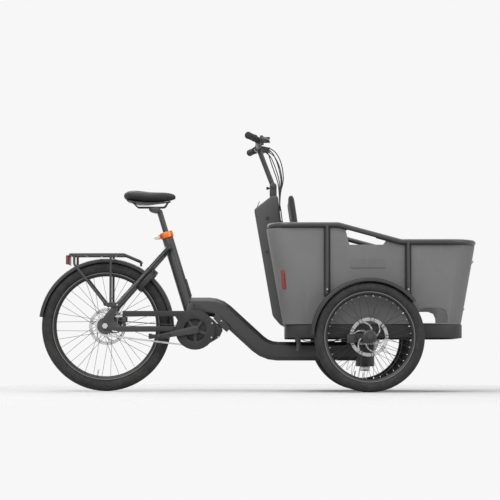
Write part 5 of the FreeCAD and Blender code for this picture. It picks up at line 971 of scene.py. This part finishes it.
def valve(side, middle, floor):
    """A tyre valve with its cap, through the rim beside a spoke."""
    stem = lathed("valve", [
        (0, 0.0), (0.003, 0.0), (0.003, 0.016), (0.0038, 0.017), (0.0038, 0.030), (0.0026, 0.034), (0, 0.034),
    ], 14)
    turn = math.radians(-100)
    way = Vector((math.cos(turn), 0, math.sin(turn)))
    piece = stood(stem, f"{side}_valve", [(middle + way * (floor + 0.002), -way)])
    mounted(piece, f"{side}_wheel", "bright_steel")


def nipples(side, middle, floor, phase):
    """Bright nuts at the rim, one to a spoke."""
    section = [(0, 0), (0.0018, 0), (0.0018, 0.005), (0.0013, 0.008), (0, 0.008)]
    first = turned(f"{side}_nipple", section, Vector(), 6, axis=UP)
    places = [(middle + tip, foot - tip) for tip, foot in spoke_ends(floor, phase)]
    piece = smooth(stood(first, f"{side}_nipples", places), 40)
    mounted(piece, f"{side}_wheel", "bright_steel")


def wheel_set():
    for side, middle in wheels.items():
        phase = REAR_SPOKE_START if side == "rear" else FRONT_SPOKE_START
        tyre(side, middle)
        floor = rim(side, middle)
        hub(side, middle, floor, phase)
        nipples(side, middle, floor, phase)
        valve(side, middle, floor)
        rotor(side, middle)


# Tubes: rail, carrier, bar


def top_rail():
    side = [(787, -55.3, 774.5), (787, -340, 774.5), (1104, -340, 774.5), (1396, -340, 695),
            (1743, -340, 695)]
    route = [spot(*place) for place in side] + [spot(x, -y, z) for x, y, z in reversed(side)]
    bends = [0.1, 0.06, 0.06, 0.13]
    rail = tube("round_top_rail", route, 0.012, bends + bends[::-1], 20, 0.12)
    mounted(rail, "front_unit", "rail_paint", "top_rail")
    # A black round strip along the box's edge under the rail is painted shade: it fills the gap there and
    # stands in for that gap's shadow.
    edge = [(794, -58, 763), (794, -331.5, 763), (1104, -331.5, 763), (1148, -331.5, 751)]
    front = [(1281, -329.5, 715), (1396, -329, 683.5), (1742, -329, 683.5), (1742, 0, 683.5)]
    behind = tube("rear_gap_shade_strip", [spot(*place) for place in edge], 0.0036, [0.1, 0.06], 10)
    ahead = tube("front_gap_shade_strip", [spot(*place) for place in front], 0.0036, [0.06, 0.12], 10)
    near = joined("near_gap_shade_strip", behind, ahead)
    mounted(both_sides("gap_shade_strip", near, "far_gap_shade_strip"), "front_unit", "grip_rubber")


BOX_LEAN = 15 / 486  # how far the box's side leans out for each unit of height


def struts():
    """Four upright tubes that carry the rail, each with a collar and a screwed foot, and a black strip of
    painted shade behind each.
    """
    across, wall = 344.4, 326.4
    near, heads, shadow_strips = [], [], []
    for ahead, top in ((1053, 774.5), (1428, 695)):
        run = [spot(ahead, -across, high) for high in (452, 520, top)]
        near.append(tube("strut", run, 0.008))
        section = [(0.0078, 0), (0.0094, 0.001), (0.0094, 0.013), (0.0078, 0.014)]
        near.append(smooth(turned("strut_collar", section, spot(ahead, -across, 503), 24, axis=UP)))
        near.append(brick("strut_foot", spot(ahead, -across, 466), (0.016, 0.004, 0.034), 0.0015, 2))
        # A thin black strip on the box wall behind each strut is painted shade: it stands in for the shadow
        # in the groove beside the strut.
        low, high = spot(ahead, -325.7, 440), spot(ahead, -323.5 - (top - 313.5) * BOX_LEAN, top - 15)
        sizes = (0.031, 0.002, (high - low).length)
        lean = -math.atan2(high.y - low.y, high.z - low.z)
        shadow_strip = brick("strut_shadow_strip", Vector((low.x, 0, 0)), sizes, 0.0008, 2, (lean, 0, 0))
        shadow_strip.data.transform(Matrix.Translation(Vector((0, (low.y + high.y) / 2, (low.z + high.z) / 2))))
        shadow_strips.append(shadow_strip)
        run = [spot(ahead, out, 466) for out in (-across, -335, -wall)]
        near.append(tube("strut_boss", run, 0.007))
        heads.append((spot(ahead, -across - 7, 474), (0, -1, 0)))
    half = joined("near_struts", *near)
    coat(half, skins["rail_paint"])
    mounted(both_sides("round_struts", half, "far_struts"), "front_unit", slots["rail_struts"], "rail_struts")
    # The black strips behind the struts are painted shade, not a moulded part.
    near_shadow_strips = joined("near_strut_shadow_strips", *shadow_strips)
    mounted(both_sides("strut_shadow_strips", near_shadow_strips, "far_strut_shadow_strips"), "front_unit", "black_plastic")
    bolts = stood(screw(0.0048, 0.003), "near_strut_screws", heads)
    mounted(both_sides("strut_screws", bolts, "far_strut_screws"), "front_unit", "bright_steel")


def carrier():
    half, high, nose_high, foot = 77, 654, 621, 418
    tail, knee, nose, leg, front_leg = -171, 88, 166, -149, 26
    radius, slat_radius, bend, plate_half, plate_out = 0.006, 0.005, 0.018, 0.002, 0.0772
    hoop = tube("carrier_hoop", [
        spot(tail, 0, high), spot(tail, -half, high), spot(knee, -half, high), spot(nose, -half, nose_high),
        spot(nose, half, nose_high), spot(knee, half, high), spot(tail, half, high), spot(tail, 0, high),
    ], radius, bend)
    parts = [hoop]
    for side in (-1, 1):
        run = [spot(front_leg, half * side, foot), spot(front_leg, half * side, high)]
        parts.append(tube("carrier_front_leg", run, radius))
        run = [spot(leg, half * side, high), spot(leg, half * side, 607), spot(0, half * side, foot)]
        parts.append(tube("carrier_rear_leg", run, radius, bend))
        parts.append(smooth(slab("carrier_foot", side_view(
            (-11, 423.5), (37, 423.5), (75.3, 423.2), (57.7, 401.2), (-5.5, 407),
        ), plate_half, 0.0008, 2, plate_out * side)))
    for share in (0.28, 0.55, 0.82):
        ahead = tail + (knee - tail) * share
        parts.append(tube("carrier_slat", [spot(ahead, -half, high), spot(ahead, half, high)], slat_radius))
    for side in (-1, 1):
        place = spot(nose, 9 * side, nose_high - 10)
        parts.append(brick("nose_bracket", place, (0.010, 0.003, 0.022), 0.001, 2))
    parts.append(brick("light_plate", spot(-177, 0, 631), (0.003, 0.076, 0.052), 0.0008, 2))
    mounted(joined("round_carrier", *parts), "rear_frame", "rail_paint", "rear_carrier")


def rear_light():
    low, high = [Vector(corner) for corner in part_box("rear_light")]
    piece = smooth(brick("rear_lamp", (low + high) / 2, high - low, 0.005, 4))
    mounted(piece, "rear_frame", "red_lens", "rear_light")


BAR_HALF = [(733, -80, 1172), (740, -155, 1184), (722, -215, 1192), (688, -338, 1192)]


def handlebar():
    near = [spot(*place) for place in BAR_HALF]
    far = [spot(x, -y, z) for x, y, z in reversed(BAR_HALF)]
    bar = tube("swept_bar", far + near, 0.0111, 0.038, 20, 0.12)
    bar_middle = spot(BAR[0], 0, BAR[1])
    riser = tube("riser", [tilt_middle, bar_middle], 0.012, sides=20)
    barrel = turned("riser_barrel", [
        (0.0051, -0.02), (0.0155, -0.02), (0.017, -0.0185), (0.017, 0.0185), (0.0155, 0.02), (0.0051, 0.02),
    ], tilt_middle, 40)
    clamp = turned("bar_clamp", [
        (0.008, -0.026), (0.0172, -0.026), (0.019, -0.0242), (0.019, 0.0242), (0.0172, 0.026), (0.008, 0.026),
    ], bar_middle, 40)
    whole = joined("round_handlebar", bar, riser, smooth(barrel), smooth(clamp))
    mounted(whole, "handlebar", "rail_paint", "handlebar")

    elbow, end = near[-2], near[-1]
    out = (end - elbow).normalized()
    section = [(0.0111, 0.003), (0.0158, 0.003), (0.0168, 0.0036), (0.0174, 0.0048), (0.0168, 0.006),
               (0.0154, 0.0068)]
    section += [(0.0154 + 0.0006 * (step % 2), 0.012 + 0.0048 * step) for step in range(19)]
    section += [(0.0154, 0.106), (0.0168, 0.108), (0.017, 0.1105), (0.0154, 0.112), (0, 0.112), (0, 0.106),
                (0.0111, 0.106)]
    grip = smooth(turned("right_grip", section, end - out * 0.109, 32, axis=out), 50)
    mounted(both_sides("ribbed_grips", grip, "left_grip"), "handlebar", "grip_rubber", "grips")


# Mudguards


def guard_section(radius, half, skirt, sheet):
    """A round-shouldered channel: its outside, then back along its inside."""
    outside = [(-half, radius - skirt), (-half, radius - skirt * 0.55), (-half * 0.9, radius - skirt * 0.24),
               (-half * 0.62, radius - skirt * 0.06), (-half * 0.25, radius), (half * 0.25, radius),
               (half * 0.62, radius - skirt * 0.06), (half * 0.9, radius - skirt * 0.24),
               (half, radius - skirt * 0.55), (half, radius - skirt)]
    inside = []
    for across, out in reversed(outside):
        at_hem = abs(across) == half and out == radius - skirt
        inside.append((across * (half - sheet) / half, out if at_hem else out - sheet))
    return [(out, across) for across, out in outside + inside]


def mudguards():
    sheet = 0.0024
    rear_sweep, rear_begin = math.radians(174), math.radians(-2)
    front_sweep, front_begin = math.radians(140), math.radians(38)
    section = guard_section(0.326, 0.033, 0.019, sheet)
    rear = smooth(turned("round_rear_mudguard", section, rear_middle, 72, rear_sweep, rear_begin), 40)
    mounted(rear, "rear_frame", "black_plastic", "rear_mudguard")
    section = guard_section(0.272, 0.030, 0.017, sheet)
    near = smooth(turned("near_mudguard", section, right_middle, 64, front_sweep, front_begin), 40)
    mounted(both_sides("round_front_mudguards", near, "far_mudguard"), "front_unit", "black_plastic",
            "front_mudguards")


# Saddle and cushions


def saddle():
    """A padded saddle, drawn from tail to nose through rings given as shares of its sizes."""
    tail, long, half_wide, floor, crown = 83, 249, 0.098, 902, 66
    ring_shares = (
        (0.0, 0.30, 0.44, 0.70), (0.02, 0.46, 0.36, 0.82), (0.10, 0.80, 0.20, 0.97), (0.25, 1.0, 0.02, 1.0),
        (0.38, 0.93, 0.0, 0.93), (0.50, 0.70, 0.02, 0.87), (0.62, 0.44, 0.10, 0.86), (0.80, 0.30, 0.18, 0.86),
        (0.93, 0.23, 0.26, 0.78), (0.985, 0.16, 0.34, 0.66), (1.0, 0.10, 0.40, 0.58))
    rings = [(spot(tail + long * share, 0, 0).x, half_wide * wide,
              (floor + crown * low) * MM, (floor + crown * high) * MM)
             for share, wide, low, high in ring_shares]
    piece = drawn_along("padded_saddle", rings, 20)
    worked(piece, "SUBSURF", levels=2, render_levels=2)
    smooth(piece, 180)
    mounted(piece, "seat", "saddle_skin", "saddle_cover")


CUSHION_MESH, CUSHION_PRESSURE, CUSHION_FRAMES = 0.006, 4, 20


def cushion(name, middle, sizes, node, turn=None, cap=0.006):
    """A pad blown up a little as cloth, so that its faces crown and its sides pull in between the corners."""
    piece = brick(name, middle, sizes, 0.012, 3, turn)
    worked(piece, "REMESH", mode="VOXEL", voxel_size=CUSHION_MESH)
    before = [vertex.co.copy() for vertex in piece.data.vertices]
    take(piece)
    cloth = piece.modifiers.new("filling", "CLOTH")
    cloth.settings.use_pressure = True
    cloth.settings.uniform_pressure_force = CUSHION_PRESSURE
    cloth.settings.effector_weights.gravity = 0
    for moment in range(1, CUSHION_FRAMES + 1):
        scene.frame_set(moment)
    bpy.ops.object.modifier_apply(modifier=cloth.name)
    scene.frame_set(1)
    for vertex, start in zip(piece.data.vertices, before):
        moved = vertex.co - start
        if moved.length > cap:
            vertex.co = start + moved.normalized() * cap
    worked(piece, "SUBSURF", levels=1, render_levels=1)
    smooth(piece, 180)
    mounted(piece, "front_unit", "cushion_fabric", node)


def cushions():
    bench_sizes, back_sizes = (0.182, 0.580, 0.040), (0.022, 0.398, 0.412)
    lean = (0, math.radians(-8.5), 0)
    cushion("bench_cushion", spot(1089, 0, 541.5), bench_sizes, "bench_seat")
    cushion("back_cushion", spot(916, 0, 725.6), back_sizes, "bench_back", lean, 0.004)


# Column


def column():
    half_wide, edge = 0.055, 0.011
    drawn = side_view((712, 872), (797, 938), (827, 938), (904, 314), (841, 314), (801, 361))
    cover = slab("rounded_column", drawn, half_wide, edge, 4)
    mounted(smooth(cover, 40), "front_unit", "column_plastic", "column_cover")


def column_details():
    """A lock barrel with its key slot, a port's lid, and a short pull strap behind the shoulder."""
    barrel = lathed("lock_barrel", [
        (0, 0), (0.0095, 0), (0.0095, 0.0016), (0.0084, 0.0028), (0.0070, 0.0028), (0.0066, 0.0012),
        (0, 0.0012),
    ], 32)
    mounted(stood(barrel, "column_lock", [(spot(776.4, -55, 827.7), (0, -1, 0))]), "front_unit", "rim_black")
    key = brick("key_slot", spot(776.4, -56.6, 827.7), (0.0016, 0.0016, 0.0085), 0.0004, 2)
    lid = lathed("port_lid", [(0, 0), (0.0062, 0), (0.0062, 0.0014), (0.0052, 0.0022), (0, 0.0022)], 24)
    lid = stood(lid, "port_lid", [(spot(774, -55, 665.8), (0, -1, 0))])
    strap = tube("pull_strap", [spot(726, 0, 880), spot(728, 0, 890), spot(738, 0, 915)], 0.0016, 0.01, 10)
    mounted(joined("column_fittings", key, lid, strap), "front_unit", "black_plastic")


def mast_knob():
    """A knob that locks the tilt, behind the mast's pivot."""
    section = [(0, 0), (0.004, 0), (0.004, 0.006), (0.0068, 0.007), (0.0072, 0.0085), (0.0072, 0.0155),
               (0.0066, 0.017), (0, 0.017)]
    knob = lathed("mast_knob", section, 28)
    mounted(stood(knob, "tilt_knob", [(spot(788, 0, 978), (-1, 0, 0))]), "front_unit", "black_plastic")


def clamp_lever():
    """The collar's lever: a short broad paddle that a thumb can push."""
    half_thick, edge, across = 0.0042, 0.0016, -0.0134
    drawn = side_view((258, 746), (247, 750), (236, 749), (229, 743), (229, 733), (237, 727), (249, 729),
                      (257, 735))
    paddle = smooth(slab("clamp_paddle", drawn, half_thick, edge, 3, across), 40)
    mounted(paddle, "seat_lever", slots["seat_clamp_lever"], "seat_clamp_lever")


def seat_post():
    """A round post with its clamp set back behind it, gripping the two rails."""
    lean = math.radians(17)

    def along(far):
        return spot(430 - far * math.sin(lean), 0, 292 + far * math.cos(lean))

    post = tube("post_tube", [along(262), along(400), along(604)], 0.0136, sides=28)
    drawn = side_view((203, 872), (212, 863), (238, 856), (262, 862), (263, 872), (252, 886), (207, 886))
    head = smooth(slab("post_head", drawn, 0.0265, 0.004, 3), 40)
    bolt = smooth(turned("head_bolt", [
        (0, -0.029), (0.004, -0.029), (0.0046, -0.0275), (0.0046, 0.0275), (0.004, 0.029), (0, 0.029),
    ], spot(214, 0, 875), 20), 35)
    mounted(joined("round_seat_post", post, head, bolt), "seat", slots["seat_post"], "seat_post")


def side_plate():
    """A bare plate on each side of the box, leaning with its wall."""
    lean = math.atan(BOX_LEAN)
    sizes = (0.1576, 0.0016, 0.0417)
    plate = brick("near_plate", spot(1242.6, -331.2, 594.9), sizes, 0.0007, 2, (-lean, 0, 0))
    coat(plate, plate_grey)
    mounted(both_sides("bare_plates", plate, "far_plate"), "front_unit", "box_plastic")


def drive_screws():
    """Screw heads on the dropouts, motor and chain guard, and the caps of the crank spindle."""
    right = (0, -1, 0)
    heads = [(spot(61, -72, 306), right), (spot(58, -79.2, 412), right), (spot(555, -45, 336), right),
             (spot(541, -45, 258), right), (spot(512, -63, 324), right), (spot(509, -63, 256), right)]
    piece = stood(screw(0.005, 0.0032), "drive_screws", heads)
    mounted(piece, "rear_frame", "bright_steel")
    cap = lathed("crank_cap", [
        (0, 0), (0.0125, 0), (0.0125, 0.0012), (0.0112, 0.0026), (0.0052, 0.0026), (0.0046, 0.0006),
        (0, 0.0006),
    ], 36)
    ends = [(crank_middle + Vector((0, side * 0.082, 0)), (0, side, 0)) for side in (-1, 1)]
    caps = stood(cap, "crank_caps", ends)
    mounted(caps, "crank", "rail_paint")


def plain_nodes():
    for node, edge in (
            ("main_frame", 0.010), ("chain_stays", 0.002), ("seat_stays", 0.0), ("motor_unit", 0.006),
            ("chain_guard", 0.0008), ("base_tray", 0.002), ("cargo_box", 0.0016), ("chassis_frame", 0.002),
            ("cranks", 0.003), ("right_pedal", 0.002), ("left_pedal", 0.002),
            ("ring_lock", 0.004), ("seat_clamp", 0.002), ("mast", 0.001), ("front_lamps", 0.003),
            ("marker_lights", 0.002), ("handlebar_controls", 0.0015),
            ("right_lever", 0.002), ("left_lever", 0.002), ("rear_caliper", 0.002), ("front_calipers", 0.002),
            ("bench_board", 0.002), ("saddle_base", 0.0), ("kingpin", 0.001)):
        eased(node, edge, 3)


# The whole

studio()
fresh()
bpy.ops.mesh.primitive_plane_add(size=60, location=(0, 0, -0.0005))
floor = bpy.context.object
floor.name = "studio_floor"
coat(floor, pale_floor("pale_studio_floor"))

control_hoses()
hose_grommet()
wheel_set()
top_rail()
struts()
carrier()
rear_light()
handlebar()
mudguards()
saddle()
cushions()
column()
column_details()
mast_knob()
clamp_lever()
seat_post()
side_plate()
drive_screws()
plain_nodes()
